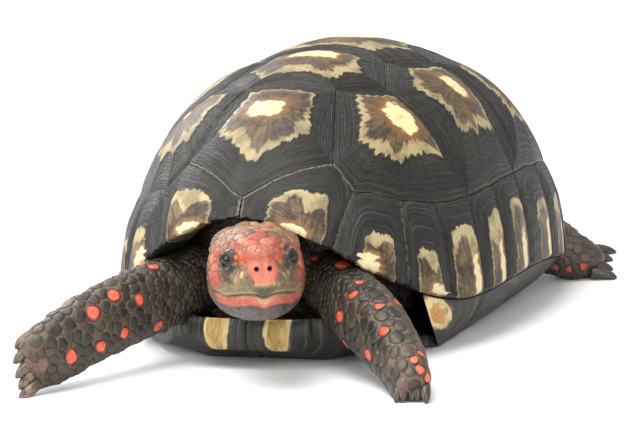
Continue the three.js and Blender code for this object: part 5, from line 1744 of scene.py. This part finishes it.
# ---- Claws ----
# Blunt, slightly hooked claws of horn, five on each forefoot and four on each hind foot. Each is one
# tapered, curved body with a round tip, and its root is set in the toe.

CLAWS = {  # how many, middle of the row, step along it, where they point, how pale, length
    "front_claws_right": (5, (-68.5, -171.2, 12.2), (0.6, -1.2, -4.6), (-0.5, -0.85, -0.42), 0.6, 12.5),
    "front_claws_left": (5, (79.0, -160.3, 4.4), (-2.5, -0.1, 0.0), (0.16, -0.78, -0.50), 0.05, 8.8),
    "hind_claws_left": (4, (88.6, 81, 6.4), (-1.6, 5.4, 2.2), (0.92, 0.3, -0.06), 0.0, 12.6),
    "hind_claws_right": (4, (-80, 61.5, 5.6), (4.2, -2.9, 1), (-0.55, -0.8, -0.2), 0.1, 12.0),
}
CLAW_GIRTH = 0.24  # radius as a share of the length
CLAW_FLATNESS = 0.86  # its height as a share of its width
CLAW_SUNK = 3.2
CLAW_HOOK = 3.0

claw_horn, tree, shader = new_material("claw_horn", {"IOR": 1.5})
length_share = carried_value(tree, "length_share")
fibre = noise(tree, own_place(tree), 420, 3.0)
dark_claw = blend(tree, fibre, (0.012, 0.009, 0.007), (0.055, 0.038, 0.026))
tan_mask = step_mask(tree, fibre, 0.35, 0.65)
tan_claw = blend(tree, tan_mask, (0.055, 0.035, 0.021), (0.20, 0.135, 0.080))
colour = blend(tree, carried_value(tree, "pale_share"), dark_claw, tan_claw)
# Each claw is painted darker at its root, a painted shadow where it sits in the toe, and darker at its tip.
colour = blend(tree, step_mask(tree, length_share, 0.45, 0.28, 0.75), colour, (0.022, 0.015, 0.011))
colour = blend(tree, step_mask(tree, length_share, 0.80, 0.98, 0.75), colour, (0.03, 0.022, 0.016))
lay_surface(tree, shader, colour, math_node(tree, "MULTIPLY_ADD", fibre, 0.25, 0.24), fibre, 0.00025, 0.6)

for name, (count, at, row, point, paleness, claw_length) in CLAWS.items():
    forward = unit(np.array(point, float))
    spread = unit(np.array(row, float))
    bpy.ops.object.select_all(action="DESELECT")
    made = []
    for k in np.arange(count) - (count - 1) / 2:
        bpy.ops.mesh.primitive_uv_sphere_add(segments=20, ring_count=18, radius=1)
        claw = bpy.context.object
        ball = mesh_points(claw.data)
        share = (ball[:, 2] + 1) / 2
        girth = CLAW_GIRTH * claw_length * np.clip(1 - share ** 3.2, 0, 1) ** 0.6 * smooth(share / 0.08)
        turn = np.arctan2(ball[:, 1], ball[:, 0])
        ends = np.where((share < 1e-5) | (share > 1 - 1e-5), 0, 1)
        side_way = np.cos(turn) * girth * ends
        up_way = np.sin(turn) * girth * ends * CLAW_FLATNESS
        heading = unit(forward + spread * (k * 0.07))
        up = unit(np.array([0, 0, 1.0]) - heading * heading[2])
        across = np.cross(heading, up)
        size = dice.uniform(0.88, 1.06)
        centre = np.array(at) + np.array(row) * k + dice.uniform(-0.3, 0.3, 3)
        length = share * claw_length * size - CLAW_SUNK
        hook = CLAW_HOOK * (share ** 2 - share * 0.6)
        points = centre + heading * length[:, None] + across * side_way[:, None]
        points += up * (up_way - hook)[:, None]
        points[:, 2] = np.maximum(points[:, 2], 0.0)
        set_mesh_points(claw.data, in_row(points))
        carry(claw.data, "length_share", np.clip(share, 0, 1))
        carry(claw.data, "pale_share", np.clip(np.full(len(share), paleness * dice.uniform(0.75, 1.2)), 0, 1))
        bpy.ops.object.shade_smooth()
        claw.data.materials.append(claw_horn)
        made.append(claw)
    claws = join_pieces(made)
    claws.name = name
    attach(claws, "root")

# ---- Head shields ----
# The head wears small, low shields: a pair over the nose, a broad one on the forehead, uneven ones on
# the crown, temples and cheeks, beads round the eyes. The nose is bare, the beak is one smooth sheath.

HEAD_SHIELDS = [  # in the head's frame, mirrored, with each shield's radius
    (2.5, -12.4, 5.2, 2.3), (3.6, -9.2, 7.0, 3.0), (0.0, -3.0, 10.2, 3.4),
    (6.6, -5.4, 7.6, 2.3), (7.2, -0.6, 9.2, 2.5), (4.4, 3.4, 11.2, 2.7), (0.0, 6.6, 11.8, 2.6),
    (10.6, 3.6, 8.8, 2.4), (16.2, 6.5, 3.0, 2.3), (16.8, 6.0, -3.0, 2.5), (17.2, 9.5, 0.2, 2.2),
    (15.0, 3.0, -0.5, 1.8), (15.6, 4.6, -7.2, 2.0),
]
HEAD_GAP = 0.10
PALE_SHIELD = np.array([0.50, 0.30, 0.17])
places, facings = spots[spot_on_head], facing[spot_on_head]
local = to_head(places)
x, y, z = local.T
sheath = (z < -8.2 + 0.10 * (y + 17)) & (z > mouth_height(y, x) - 5.0) & (y < 8.5)
to_eye = np.minimum(from_eye(local, 1), from_eye(local, -1))
keep = ~sheath & (to_eye > 2.75) & (bare_nose(local) < 0.5)
places, facings, to_eye = places[keep], facings[keep], to_eye[keep]
x, y, z = local[keep].T
sizes = 1.35 + 0.55 * smooth((z - 3) / 4) * smooth((y + 14) / 6)
sizes = sizes - 0.35 * smooth((-12 - y) / 3)
sizes = sizes * (0.42 + 0.58 * smooth((to_eye - 3.2) / 3.0)) * dice.uniform(0.8, 1.2, len(x))
seeds = []
for px, py, pz, size in HEAD_SHIELDS:
    for flip in ((1, -1) if px else (1,)):
        place = np.array([px * flip + dice.uniform(-0.25, 0.25), py + dice.uniform(-0.3, 0.3), pz])
        place = skin_tree.find_nearest(Vector(from_head(place)))[0]
        seeds.append((*place, size * dice.uniform(0.92, 1.08)))
held, radii = choose_scales(places, sizes, seeds)
middles = places[held]
local = to_head(middles)
x, y, z = local.T
tints = head_tint(local) * dice.uniform(0.66, 0.92, (len(middles), 1))
pale = (dice.random(len(middles)) < 0.22) * (z > -8)
tints = mixed(tints, PALE_SHIELD, pale * 0.25)
roots = np.stack([np.arctan2(x, z - HEAD_WIDEST) / (2 * math.pi) + 0.5, (y + 20) / 46], -1)
scale_coat("head_scales", middles, facings[held], head_turn @ np.array([0.0, 1.0, 0.15]) + 0.01, radii,
           np.clip(radii * 0.13, 0.09, 0.27), tints, np.zeros(len(middles)), np.clip(roots, 0.01, 0.99), 10,
           HEAD_GAP, 0.5)

shown_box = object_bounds()
sizes = {"cad": [list(corner) for corner in cad_box], "visual": [list(corner) for corner in shown_box]}
